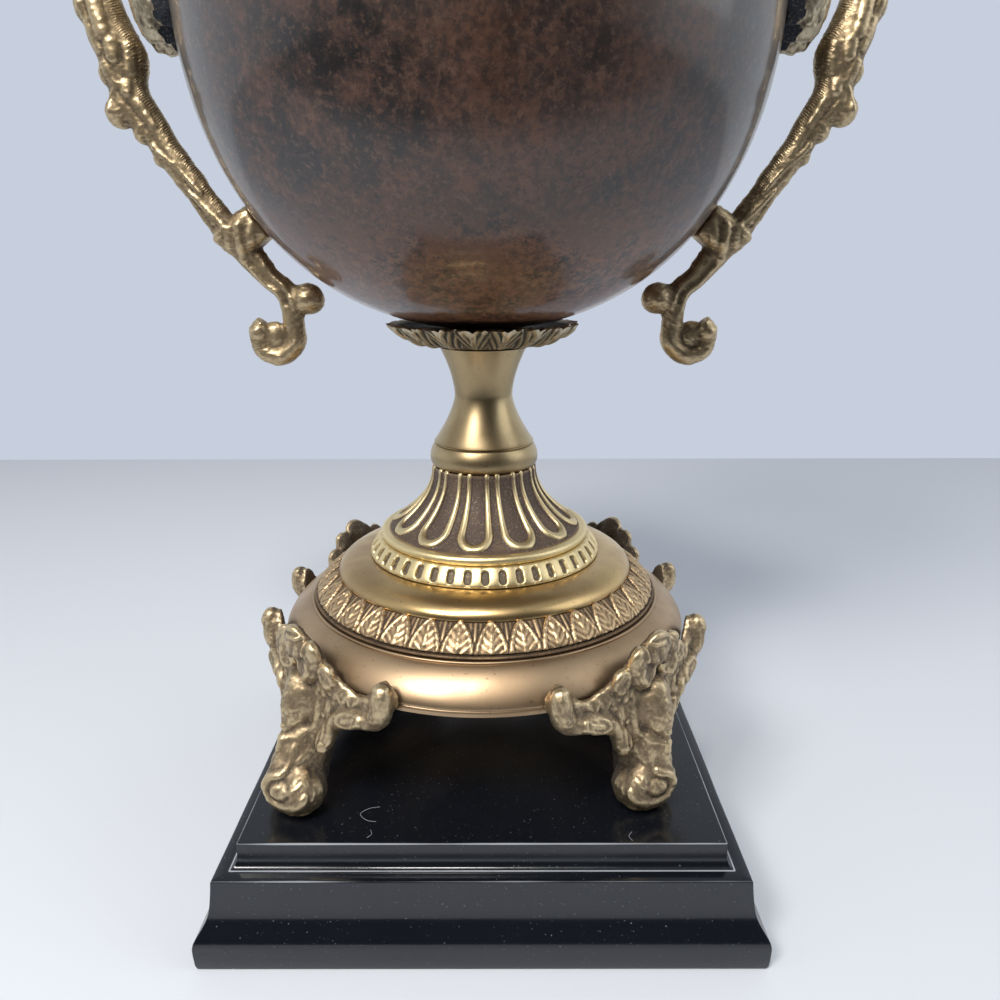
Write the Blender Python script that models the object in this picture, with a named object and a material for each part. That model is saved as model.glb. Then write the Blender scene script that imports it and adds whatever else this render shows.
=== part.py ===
"""Mantel urn: a mottled brown ceramic vase in cast and turned brass mounts, on a black plinth.

The urn stands on the XY plane with its turning axis on Z. +X runs to the right handle and
-Y faces the viewer. Every size below is in millimetres.
"""

from math import atan2, cos, degrees, hypot, pi, radians, sin

import bmesh
import bpy
from mathutils import Matrix, Vector

MM = 0.001
FIT_GAP = 0.3
FLAT_ANGLE = 1.5

# Plinth: a stepped square block
PLINTH_WIDTH = 180.0
PLINTH_FASCIA = 7.5
PLINTH_ARRIS = 1.0
BLOCK_WIDTH = 168.4
BLOCK_HEIGHT = 21.3
SLAB_WIDTH = 155.0
SLAB_HEIGHT = 8.4
SLAB_COVE = 2.2

# Feet: four winged brackets that lift the dish off the plinth
FOOT_LIFT = 43.2
FOOT_PLATE = 4.2
FOOT_CREST_LEAN = 2.6
FOOT_BOSS_SWELL = 2.8
FOOT_BOSS_HALF_WIDTH = 4.4
FOOT_BOSS_HALF_HEIGHT = 9.5
FOOT_LEG_WIDTH = 21.0
FOOT_LEG_DEPTH = 10.0
FOOT_TOE_WIDTH = 21.6
FOOT_TOE_HEIGHT = 16.4
FOOT_TOE_DEPTH = 12.6
FOOT_TOE_REACH = 5.6
FOOT_LUG_LENGTH = 9.0
FOOT_LUG_WIDTH = 16.0

# Base dish: a thin spun cover
DISH_RADIUS = 75.0
DISH_HEIGHT = 13.4
DISH_SEAT_RADIUS = 64.4
DISH_WALL = 2.0
DISH_HOLE_RADIUS = 30.0
DISH_LIP = 2.6

# Leaf band: a cast ring of upright leaves, turned on the axis by some degrees
BAND_TOP_RADIUS = 54.8
BAND_HEIGHT = 8.4
BAND_WALL = 5.0
BAND_FILLET = 1.1
BAND_STEP = 0.4
LEAF_COUNT = 36
LEAF_TURN = 3.0
LEAF_RELIEF = 0.9

# Cushion: a polished half-round ring
CUSHION_TOP_RADIUS = 43.4
CUSHION_HEIGHT = 6.0
CUSHION_WALL = 2.4

# Fluted cone: one casting with its slotted band and its smooth ring
SLOT_BAND_HEIGHT = 6.0
SLOT_BAND_STEP = 0.6
SLOT_COUNT = 44
SLOT_TURN = -2.8
SLOT_DEPTH = 0.9
RING_RADIUS = 38.6
RING_HEIGHT = 3.4
FLUTE_FOOT_RADIUS = 35.4
FLUTE_TOP_RADIUS = 18.9
FLUTE_HEIGHT = 22.6
FLUTE_COUNT = 12
FLUTE_TURN = -5.3
FLUTE_DEPTH = 1.1
CONE_WALL = 3.0

# Stem: a turned spool
STEM_HEIGHT = 42.3
STEM_FOOT_RADIUS = 18.6
STEM_DRUM_RADIUS = 19.7
STEM_DRUM_HEIGHT = 8.4
STEM_WAIST_RADIUS = 10.4
STEM_WAIST_HEIGHT = 25.4
STEM_TOP_RADIUS = 15.4
STEM_LINE = 0.5

# Leaf cup: a shallow collar of leaves under the body
CUP_RADIUS = 33.4
CUP_HEIGHT = 9.0
CUP_SEAT_HEIGHT = 6.4
CUP_SEAT_MARGIN = 2.0
CUP_EDGE = 1.5
CUP_EDGE_DROP = 1.2
CUP_LEAVES = 18
CUP_RELIEF = 0.9

# Body: a hollow ovoid, made of two rounded halves that meet at the belly
BODY_RADIUS = 92.75
BODY_LOWER_HEIGHT = 98.0
BODY_UPPER_HEIGHT = 62.0
BODY_ROUNDNESS = 2.14
BODY_WALL = 5.0
BODY_FOOT_RADIUS = 12.0
MOUTH_RADIUS = 46.0
BODY_FLOOR_ANGLE = 72.0

# Neck rim, lid and finial
RIM_HEIGHT = 10.0
RIM_FLARE = 3.4
LID_HEIGHT = 24.0
LID_WALL = 4.0
LID_OVERHANG = 1.0
LID_TOP_RADIUS = 9.0
SPIGOT_DEPTH = 4.0
SPIGOT_CLEARANCE = 0.8
FINIAL_HEIGHT = 38.0
FINIAL_RADIUS = 10.5

# Handles: swept along the side of the body
HANDLE_END_ANGLE = 29.0
HANDLE_LUG_ANGLE = -37.6
HANDLE_LUG_SIZE = 13.4
HANDLE_LUG_LENGTH = 11.5
HANDLE_STANDOFF = 29.6
HANDLE_HALF_WIDTH = 7.4
HANDLE_HALF_DEPTH = 7.0
HANDLE_BALL_RADIUS = 5.6
HANDLE_BALL_ANGLE = -54.6
HANDLE_BALL_STANDOFF = 8.4
HOOK_RADIUS = 7.2
HOOK_TURN = 235.0
HOOK_WIDTH = 7.6
HOOK_HALF_DEPTH = 4.0
HOOK_DROP = 14.2

# Side mounts: leaf cartouches on the body, inside the handles
MOUNT_LOW_ANGLE = -5.2
MOUNT_HIGH_ANGLE = 19.0
MOUNT_HALF_WIDTH = 11.5
MOUNT_BULGE = 15.5
MOUNT_LOBES = 5
MOUNT_EDGE = 0.6
MOUNT_WALL = 1.2
MOUNT_GROOVE = 1.2
MOUNT_LOW_RISE = 5.0
MOUNT_HIGH_DROP = 6.0
MOUNT_JAG = 1.6

# Facets round each turned piece
FACETS = 26
LEAF_FACETS = 2 * LEAF_COUNT
SMALL_FACETS = 16

# Heights at which each piece starts, from the floor up
SLAB_BASE = PLINTH_FASCIA + BLOCK_HEIGHT
PLINTH_TOP = SLAB_BASE + SLAB_HEIGHT
DISH_BASE = PLINTH_TOP + FOOT_LIFT
BAND_BASE = DISH_BASE + DISH_HEIGHT + FIT_GAP
CUSHION_BASE = BAND_BASE + BAND_HEIGHT + FIT_GAP
CONE_BASE = CUSHION_BASE + CUSHION_HEIGHT + FIT_GAP
RING_BASE = CONE_BASE + SLOT_BAND_HEIGHT
FLUTE_BASE = RING_BASE + RING_HEIGHT
STEM_BASE = FLUTE_BASE + FLUTE_HEIGHT + FIT_GAP
CUP_BASE = STEM_BASE + STEM_HEIGHT + FIT_GAP
BODY_BASE = CUP_BASE + CUP_SEAT_HEIGHT + FIT_GAP


def rounded_share(share):
    """Height, as a share of the half-height, at which the oval is this share of its radius."""
    return (1.0 - share ** BODY_ROUNDNESS) ** (1.0 / BODY_ROUNDNESS)


BELLY_HEIGHT = BODY_BASE + BODY_LOWER_HEIGHT * rounded_share(BODY_FOOT_RADIUS / BODY_RADIUS)
MOUTH_HEIGHT = BELLY_HEIGHT + BODY_UPPER_HEIGHT * rounded_share(MOUTH_RADIUS / BODY_RADIUS)
RIM_BASE = MOUTH_HEIGHT + FIT_GAP
LID_BASE = RIM_BASE + RIM_HEIGHT + FIT_GAP
FINIAL_BASE = LID_BASE + LID_HEIGHT + FIT_GAP


# Materials

def make_material(name, colour, roughness, metallic):
    """A plain surface with a colour, a roughness and a metallic value."""
    material = bpy.data.materials.new(name)
    material.use_nodes = True
    shader = material.node_tree.nodes["Principled BSDF"]
    shader.inputs["Base Color"].default_value = (*colour, 1.0)
    shader.inputs["Roughness"].default_value = roughness
    shader.inputs["Metallic"].default_value = metallic
    material.diffuse_color = (*colour, 1.0)
    return material


# Mesh helpers

def finish_object(name, mesh_builder, material, sharp_angle=35.0):
    """Turn a bmesh in millimetres into one smooth-shaded object in metres."""
    bmesh.ops.scale(mesh_builder, vec=(MM, MM, MM), verts=mesh_builder.verts)
    bmesh.ops.recalc_face_normals(mesh_builder, faces=mesh_builder.faces)
    mesh = bpy.data.meshes.new(name)
    mesh_builder.to_mesh(mesh)
    mesh_builder.free()
    mesh.shade_smooth()
    mesh.set_sharp_from_angle(angle=radians(sharp_angle))
    mesh.materials.append(material)
    obj = bpy.data.objects.new(name, mesh)
    bpy.context.collection.objects.link(obj)
    return obj


def plain_ring(radius, height, count=FACETS):
    """A level circle of points, or a single point on the axis when its radius is nothing."""
    if radius == 0.0:
        return [(0.0, 0.0, height)]
    return [(2.0 * pi * i / count, radius, height) for i in range(count)]


def carved_ring(radius, height, count, relief, turn_degrees=0.0):
    """A circle whose radius and height follow relief(angle), turned on the axis as a whole."""
    ring = []
    for i in range(count):
        angle = 2.0 * pi * i / count
        out, up = relief(angle)
        ring.append((angle + radians(turn_degrees), radius + out, height + up))
    return ring


def stitch(builder, low, high):
    """Close the band between two rings of vertices, whatever the number in each."""
    if len(low) == 1 and len(high) == 1:
        return
    i = 0
    j = 0
    while i < len(low) or j < len(high):
        low_share = (i + 1.0) / len(low) if len(low) > 1 else 2.0
        high_share = (j + 1.0) / len(high) if len(high) > 1 else 2.0
        low_now = low[i % len(low)]
        high_now = high[j % len(high)]
        low_next = low[(i + 1) % len(low)]
        high_next = high[(j + 1) % len(high)]
        if len(low) == len(high):
            builder.faces.new((low_now, low_next, high_next, high_now))
            i += 1
            j += 1
        elif low_share <= high_share and i < len(low):
            builder.faces.new((low_now, low_next, high_now))
            i += 1
        else:
            builder.faces.new((low_now, high_next, high_now))
            j += 1
        if (len(low) == 1 or i >= len(low)) and (len(high) == 1 or j >= len(high)):
            break


def turned(name, rings, material, sharp_angle=35.0):
    """Skin a chain of rings; it closes on itself unless it starts and ends on the axis."""
    builder = bmesh.new()
    loops = []
    for ring in rings:
        loop = []
        for angle, radius, height in ring:
            loop.append(builder.verts.new((radius * cos(angle), radius * sin(angle), height)))
        loops.append(loop)
    for low, high in zip(loops, loops[1:]):
        stitch(builder, low, high)
    if len(loops[0]) > 1:
        stitch(builder, loops[-1], loops[0])
    return finish_object(name, builder, material, sharp_angle)


def lofted(name, sections, material, sharp_angle=35.0):
    """Skin a row of closed sections that have the same number of points, and cap both ends."""
    builder = bmesh.new()
    loops = [[builder.verts.new(point) for point in section] for section in sections]
    for first, second in zip(loops, loops[1:]):
        for i in range(len(first)):
            j = (i + 1) % len(first)
            builder.faces.new((first[i], first[j], second[j], second[i]))
    builder.faces.new(loops[0])
    builder.faces.new(loops[-1])
    bmesh.ops.triangulate(builder, faces=builder.faces)
    return finish_object(name, builder, material, sharp_angle)


def blob(name, centre, radii, material, segments, rings):
    """A rounded knob with its own radius along each axis."""
    builder = bmesh.new()
    place = Matrix.Translation(centre) @ Matrix.Diagonal((*radii, 1.0))
    bmesh.ops.create_uvsphere(builder, u_segments=segments, v_segments=rings, radius=1.0, matrix=place)
    return finish_object(name, builder, material, 80.0)


def fuse(name, pieces, material):
    """Union overlapping pieces into one object and remove the pieces."""
    base = pieces[0]
    for extra in pieces[1:]:
        modifier = base.modifiers.new(extra.name, "BOOLEAN")
        modifier.operation = "UNION"
        modifier.solver = "EXACT"
        modifier.object = extra
    bpy.context.view_layer.update()
    graph = bpy.context.evaluated_depsgraph_get()
    mesh = bpy.data.meshes.new_from_object(base.evaluated_get(graph), depsgraph=graph)
    mesh.name = name
    builder = bmesh.new()
    builder.from_mesh(mesh)
    flat = radians(FLAT_ANGLE)
    bmesh.ops.dissolve_limit(builder, angle_limit=flat, verts=builder.verts, edges=builder.edges)
    bmesh.ops.triangulate(builder, faces=builder.faces)
    builder.to_mesh(mesh)
    builder.free()
    mesh.materials.clear()
    mesh.materials.append(material)
    mesh.shade_smooth()
    mesh.set_sharp_from_angle(angle=radians(40.0))
    for piece in pieces:
        bpy.data.objects.remove(piece)
    obj = bpy.data.objects.new(name, mesh)
    bpy.context.collection.objects.link(obj)
    return obj


def wave(angle, count, offset=0.0):
    """A wave round the axis, from -1 to 1, with its crest at the offset angle."""
    return cos(count * (angle - offset))


def smooth_step(share):
    """Ease from 0 to 1."""
    share = min(max(share, 0.0), 1.0)
    return share * share * (3.0 - 2.0 * share)


# The body's outline, which the mounts on it follow

def body_outline(angle_degrees, inset=0.0):
    """Radius, height and outward direction of the body at an angle above its belly."""
    angle = radians(angle_degrees)
    half = (BODY_UPPER_HEIGHT if angle > 0.0 else BODY_LOWER_HEIGHT) - inset
    wide = BODY_RADIUS - inset
    power = 2.0 / BODY_ROUNDNESS
    side = 1.0 if angle > 0.0 else -1.0
    across = abs(cos(angle)) ** power
    along = abs(sin(angle)) ** power
    slope_out = across ** (BODY_ROUNDNESS - 1.0) / wide
    slope_up = side * along ** (BODY_ROUNDNESS - 1.0) / half
    length = hypot(slope_out, slope_up)
    return wide * across, BELLY_HEIGHT + side * half * along, slope_out / length, slope_up / length


def beside_body(angle_degrees, clearance):
    """Radius and height of a point that stands off the body by a clearance."""
    radius, height, out, up = body_outline(angle_degrees)
    return radius + out * clearance, height + up * clearance


def outline_angle(radius, inset=0.0):
    """The angle, in degrees and without its sign, at which the body has this radius."""
    across = (radius / (BODY_RADIUS - inset)) ** (BODY_ROUNDNESS / 2.0)
    return degrees(atan2((1.0 - across * across) ** 0.5, across))


# Plinth

# The ogee from the fascia up: share of the block's height, and share of the flare
PLINTH_OGEE = ((0.0, 1.0), (0.07, 0.98), (0.14, 0.92), (0.21, 0.83), (0.28, 0.69), (0.34, 0.53),
               (0.42, 0.36), (0.5, 0.25), (0.64, 0.14))


def build_plinth(material):
    """The stepped square block with an ogee round its lower part."""
    outline = [(PLINTH_WIDTH / 2.0 - PLINTH_ARRIS, 0.0), (PLINTH_WIDTH / 2.0, PLINTH_ARRIS)]
    flare = (PLINTH_WIDTH - BLOCK_WIDTH) / 2.0
    for rise, out in PLINTH_OGEE:
        outline.append((BLOCK_WIDTH / 2.0 + out * flare, PLINTH_FASCIA + rise * BLOCK_HEIGHT))
    outline.append((BLOCK_WIDTH / 2.0, SLAB_BASE))
    outline.append((SLAB_WIDTH / 2.0 + SLAB_COVE, SLAB_BASE))
    for i in range(1, 4):
        turn = radians(30.0 * i)
        outline.append((SLAB_WIDTH / 2.0 + SLAB_COVE * (1.0 - sin(turn)),
                        SLAB_BASE + 1.6 * SLAB_COVE * (1.0 - cos(turn))))
    outline.append((SLAB_WIDTH / 2.0, PLINTH_TOP - PLINTH_ARRIS / 2.0))
    outline.append((SLAB_WIDTH / 2.0 - PLINTH_ARRIS / 2.0, PLINTH_TOP))
    corners = ((1, 1), (-1, 1), (-1, -1), (1, -1))
    sections = [[(half * x, half * y, z) for x, y in corners] for half, z in outline]
    return lofted("plinth", sections, material, 30.0)


# Base and stem

def dish_radius(height):
    """Outer radius of the dish at a height above its lip."""
    share = min(max((height - DISH_LIP) / (DISH_HEIGHT - DISH_LIP), 0.0), 1.0)
    spread = DISH_RADIUS - DISH_SEAT_RADIUS
    return DISH_SEAT_RADIUS + spread * (1.0 - share ** 1.4) ** (1.0 / 1.4)


def build_dish(material):
    """The spun dish: a lip, a swelling side, a flat seat and an open underside."""
    rings = [plain_ring(DISH_HOLE_RADIUS, DISH_BASE + DISH_HEIGHT)]
    rings.append(plain_ring(DISH_SEAT_RADIUS, DISH_BASE + DISH_HEIGHT))
    shares = (0.94, 0.72, 0.35, 0.0)
    for share in shares:
        height = DISH_LIP + share * (DISH_HEIGHT - DISH_LIP)
        rings.append(plain_ring(dish_radius(height), DISH_BASE + height))
    rings.append(plain_ring(DISH_RADIUS, DISH_BASE))
    rings.append(plain_ring(DISH_RADIUS - DISH_WALL, DISH_BASE))
    inner_share = 0.45
    height = DISH_LIP + inner_share * (DISH_HEIGHT - DISH_LIP)
    rings.append(plain_ring(dish_radius(height) - DISH_WALL, DISH_BASE + height - DISH_WALL * inner_share))
    rings.append(plain_ring(DISH_SEAT_RADIUS - DISH_WALL, DISH_BASE + DISH_HEIGHT - DISH_WALL))
    rings.append(plain_ring(DISH_HOLE_RADIUS, DISH_BASE + DISH_HEIGHT - DISH_WALL))
    return turned("base_dish", rings, material)


def build_leaf_band(material):
    """The cast ring: leaves stand on a plain fillet and lean in towards the cushion."""
    foot = DISH_SEAT_RADIUS - BAND_STEP
    spread = foot - BAND_FILLET - BAND_TOP_RADIUS

    def leaf(strength, rise):
        def relief(angle):
            crest = wave(angle, LEAF_COUNT)
            return strength * LEAF_RELIEF * crest, rise * crest
        return relief

    rings = [plain_ring(BAND_TOP_RADIUS - BAND_WALL, BAND_BASE + BAND_HEIGHT)]
    rings.append(plain_ring(BAND_TOP_RADIUS, BAND_BASE + BAND_HEIGHT, LEAF_FACETS))
    for share, strength, rise in ((0.86, 0.35, 0.8), (0.3, 0.8, 0.0)):
        height = BAND_BASE + BAND_FILLET + share * (BAND_HEIGHT - BAND_FILLET)
        radius = BAND_TOP_RADIUS + spread * (1.0 - share ** 1.3)
        rings.append(carved_ring(radius, height, LEAF_FACETS, leaf(strength, rise), LEAF_TURN))
    rings.append(plain_ring(foot, BAND_BASE + BAND_FILLET, FACETS))
    rings.append(plain_ring(foot, BAND_BASE, FACETS))
    rings.append(plain_ring(foot - BAND_WALL, BAND_BASE, FACETS))
    return turned("leaf_band", rings, material, 25.0)


def build_cushion(material):
    """The half-round ring, hollow below."""
    foot = BAND_TOP_RADIUS
    spread = foot - CUSHION_TOP_RADIUS

    def curve(inset, steps):
        result = []
        for i in range(steps + 1):
            turn = radians(90.0 * i / steps)
            radius = CUSHION_TOP_RADIUS + (spread - inset) * cos(turn)
            result.append(plain_ring(radius, CUSHION_BASE + (CUSHION_HEIGHT - inset) * sin(turn)))
        return result

    hole = CUSHION_TOP_RADIUS - 2.0 * CUSHION_WALL
    rings = curve(0.0, 4)
    rings.append(plain_ring(hole, CUSHION_BASE + CUSHION_HEIGHT))
    rings.append(plain_ring(hole, CUSHION_BASE + CUSHION_HEIGHT - CUSHION_WALL))
    rings += curve(CUSHION_WALL, 1)[::-1]
    return turned("cushion", rings, material)


def flute_profile(share):
    """Radius of the trumpet at a share of its height."""
    spread = FLUTE_FOOT_RADIUS - FLUTE_TOP_RADIUS
    return FLUTE_TOP_RADIUS + spread * (1.0 - share) ** 2.3


def build_fluted_cone(material):
    """The trumpet with sunk tongues, a smooth ring below them and a slotted band at the foot."""
    slots = 2 * SLOT_COUNT
    ribs = 4 * FLUTE_COUNT

    def slot(angle):
        return -SLOT_DEPTH * (0.5 - 0.5 * wave(angle, SLOT_COUNT)), 0.0

    def tongue(strength):
        def relief(angle):
            return strength * FLUTE_DEPTH * wave(angle, 2 * FLUTE_COUNT, pi / (2 * FLUTE_COUNT)), 0.0
        return relief

    band_foot = CUSHION_TOP_RADIUS - SLOT_BAND_STEP
    rings = [plain_ring(band_foot - CONE_WALL, CONE_BASE)]
    rings.append(plain_ring(band_foot, CONE_BASE))
    for share in (0.2, 0.8):
        radius = band_foot + (RING_RADIUS + 0.8 - band_foot) * share ** 1.5
        height = CONE_BASE + SLOT_BAND_HEIGHT * share
        rings.append(carved_ring(radius, height, slots, slot, SLOT_TURN))
    rings.append(plain_ring(RING_RADIUS, RING_BASE))
    rings.append(plain_ring(RING_RADIUS, RING_BASE + 0.5 * RING_HEIGHT))
    rings.append(plain_ring(FLUTE_FOOT_RADIUS, FLUTE_BASE))
    for share, strength in ((0.05, 0.7), (0.25, 1.0), (0.55, 0.8), (0.92, 0.5)):
        radius = flute_profile(share)
        height = FLUTE_BASE + FLUTE_HEIGHT * share
        rings.append(carved_ring(radius, height, ribs, tongue(strength), FLUTE_TURN))
    top = FLUTE_BASE + FLUTE_HEIGHT
    rings.append(plain_ring(FLUTE_TOP_RADIUS, top, FACETS))
    inner_count = SMALL_FACETS
    rings.append(plain_ring(FLUTE_TOP_RADIUS - 2.0 * CONE_WALL, top, inner_count))
    rings.append(plain_ring(FLUTE_TOP_RADIUS - 2.0 * CONE_WALL, top - CONE_WALL, inner_count))
    inner_waist = flute_profile(0.3) - 2.0 * CONE_WALL
    rings.append(plain_ring(inner_waist, FLUTE_BASE + 0.15 * FLUTE_HEIGHT, inner_count))
    rings.append(plain_ring(RING_RADIUS - 2.0 * CONE_WALL, RING_BASE, inner_count))
    return turned("fluted_cone", rings, material, 25.0)


def build_stem(material):
    """The turned spool: a drum with a cut line, a waist and a flared top."""
    facets = 20
    top = STEM_BASE + STEM_HEIGHT
    line = STEM_BASE + STEM_DRUM_HEIGHT
    waist = STEM_BASE + STEM_WAIST_HEIGHT
    shoulder = STEM_DRUM_RADIUS - 1.4
    rings = [plain_ring(0.0, STEM_BASE)]
    rings.append(plain_ring(STEM_FOOT_RADIUS, STEM_BASE, facets))
    rings.append(plain_ring(STEM_DRUM_RADIUS, STEM_BASE + 0.35 * STEM_DRUM_HEIGHT, facets))
    rings.append(plain_ring(shoulder, line - STEM_LINE, facets))
    rings.append(plain_ring(shoulder - STEM_LINE, line, facets))
    for share in (0.08, 0.4, 0.75, 1.0):
        radius = STEM_WAIST_RADIUS + (shoulder - STEM_WAIST_RADIUS) * (1.0 - share) ** 1.5
        rings.append(plain_ring(radius, line + (waist - line) * share, facets))
    for share in (0.5, 1.0):
        radius = STEM_WAIST_RADIUS + (STEM_TOP_RADIUS - STEM_WAIST_RADIUS) * share ** 1.7
        rings.append(plain_ring(radius, waist + (top - waist) * share, facets))
    rings.append(plain_ring(0.0, top))
    return turned("stem", rings, material)


def build_leaf_cup(material):
    """The shallow collar: leaves spread from the stem, and the body's foot sits in it."""
    leaf_facets = 2 * CUP_LEAVES
    seat = BODY_FOOT_RADIUS + CUP_SEAT_MARGIN

    def leaf(strength, rise):
        def relief(angle):
            crest = wave(angle, CUP_LEAVES, pi / 2.0)
            return strength * CUP_RELIEF * crest, rise * crest
        return relief

    rings = [plain_ring(0.0, CUP_BASE + CUP_SEAT_HEIGHT)]
    rings.append(plain_ring(seat, CUP_BASE + CUP_SEAT_HEIGHT))
    inner_radius = CUP_RADIUS - CUP_EDGE
    inner_height = CUP_BASE + CUP_HEIGHT - 0.4
    middle_height = 0.5 * (CUP_BASE + CUP_SEAT_HEIGHT + inner_height) - 0.5 * CUP_EDGE
    rings.append(plain_ring(0.5 * (seat + inner_radius), middle_height))
    rings.append(carved_ring(inner_radius, inner_height, leaf_facets, leaf(0.8, 0.2)))
    edge_height = CUP_BASE + CUP_HEIGHT - CUP_EDGE_DROP
    rings.append(carved_ring(CUP_RADIUS, edge_height, leaf_facets, leaf(0.8, 0.2)))
    for share, strength in ((0.78, 0.9), (0.45, 0.5)):
        radius = STEM_TOP_RADIUS + (CUP_RADIUS - STEM_TOP_RADIUS) * share ** 0.75
        height = CUP_BASE + (CUP_HEIGHT - CUP_EDGE_DROP) * share ** 1.35
        rings.append(carved_ring(radius, height, leaf_facets, leaf(strength, 0.0)))
    rings.append(plain_ring(STEM_TOP_RADIUS, CUP_BASE, leaf_facets))
    rings.append(plain_ring(0.0, CUP_BASE))
    return turned("leaf_cup", rings, material)


# Body, rim, lid and finial

def build_body(material):
    """The hollow ceramic ovoid, open at the mouth."""
    mouth = outline_angle(MOUTH_RADIUS)
    foot = outline_angle(BODY_FOOT_RADIUS)
    inner_mouth_radius = MOUTH_RADIUS - BODY_WALL
    inner_mouth = outline_angle(inner_mouth_radius, BODY_WALL)

    def arc(start, end, steps, inset):
        result = []
        for i in range(steps + 1):
            radius, height, _, _ = body_outline(start + (end - start) * i / steps, inset)
            result.append(plain_ring(radius, height))
        return result

    rings = [plain_ring(0.0, BODY_BASE)]
    rings += arc(-foot, mouth, 12, 0.0)
    rings.append(plain_ring(inner_mouth_radius, MOUTH_HEIGHT))
    rings += arc(inner_mouth, -BODY_FLOOR_ANGLE, 5, BODY_WALL)
    rings.append(plain_ring(0.0, BODY_BASE + BODY_WALL))
    return turned("body", rings, material)


def build_neck_rim(material):
    """The brass ring on the mouth: a bead, a hollow and a flared top."""
    bore = MOUTH_RADIUS - BODY_WALL
    flare = MOUTH_RADIUS + RIM_FLARE
    steps = ((MOUTH_RADIUS + 1.6, 0.0), (MOUTH_RADIUS + 2.4, 0.14), (MOUTH_RADIUS - 0.4, 0.42),
             (flare, 0.84), (flare - 0.5, 1.0), (bore, 1.0), (bore, 0.0))
    rings = [plain_ring(radius, RIM_BASE + share * RIM_HEIGHT) for radius, share in steps]
    return turned("neck_rim", rings, material)


def build_lid(material):
    """The hollow domed lid, whose spigot drops into the neck rim."""
    edge = MOUTH_RADIUS + LID_OVERHANG
    spigot = MOUTH_RADIUS - BODY_WALL - SPIGOT_CLEARANCE

    def dome(radius, height, top_radius, steps):
        result = []
        for i in range(steps + 1):
            turn = radians(90.0 * i / steps)
            ring_radius = top_radius + (radius - top_radius) * cos(turn)
            result.append(plain_ring(ring_radius, LID_BASE + height * sin(turn)))
        return result

    rings = [plain_ring(0.0, LID_BASE + LID_HEIGHT)]
    rings += dome(edge, LID_HEIGHT, LID_TOP_RADIUS, 4)[::-1]
    rings.append(plain_ring(spigot, LID_BASE))
    rings.append(plain_ring(spigot, LID_BASE - SPIGOT_DEPTH))
    rings.append(plain_ring(spigot - LID_WALL, LID_BASE - SPIGOT_DEPTH))
    rings += dome(spigot - LID_WALL, LID_HEIGHT - LID_WALL, LID_TOP_RADIUS, 2)
    rings.append(plain_ring(0.0, LID_BASE + LID_HEIGHT - LID_WALL))
    return turned("lid", rings, material)


def build_finial(material):
    """The turned knob on the lid: a disc, a neck and a bud."""
    steps = ((0.95, 0.0), (1.0, 0.06), (0.45, 0.15), (0.34, 0.28), (0.52, 0.33),
             (0.45, 0.38), (0.84, 0.54), (0.78, 0.7), (0.4, 0.9))
    rings = [plain_ring(0.0, FINIAL_BASE)]
    for wide, share in steps:
        rings.append(plain_ring(FINIAL_RADIUS * wide, FINIAL_BASE + FINIAL_HEIGHT * share, SMALL_FACETS))
    rings.append(plain_ring(0.0, FINIAL_BASE + FINIAL_HEIGHT))
    return turned("finial", rings, material)


# Feet

# Each foot's direction from the axis in degrees, and how far its toe is bent out and aside;
# they were fixed by hand, a little askew
FOOT_TURNS = (("foot_front_left", -139.0, 7.6, 2.8), ("foot_front_right", -45.6, 0.0, 0.0),
              ("foot_back_right", 46.0, 0.0, 0.0), ("foot_back_left", 137.0, 0.0, 0.0))

# Half of the bracket, from its middle out to its knobbed tip: degrees round the dish, the top
# and bottom edges as shares of the lift, and the swell of the front as a share of the plate
FOOT_EDGES = ((0.0, 1.46, 0.55, -0.07), (3.4, 1.39, 0.56, 0.21), (5.4, 1.2, 0.6, -0.07),
              (7.8, 1.23, 0.66, 0.21), (10.2, 1.1, 0.7, -0.07), (12.6, 1.13, 0.72, 0.21),
              (17.5, 1.02, 0.75, 0.07), (23.2, 1.08, 0.82, 0.29), (24.8, 1.21, 0.88, 0.67),
              (27.1, 1.27, 0.96, 0.76), (29.0, 1.2, 1.02, 0.52), (29.8, 1.14, 1.06, 0.24))


def foot_point(turn_degrees, radius, lift_share):
    """A point of the foot that faces +X, from its turn round the dish, radius and height."""
    turn = radians(turn_degrees)
    return (radius * cos(turn), radius * sin(turn), PLINTH_TOP + lift_share * FOOT_LIFT)


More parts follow.
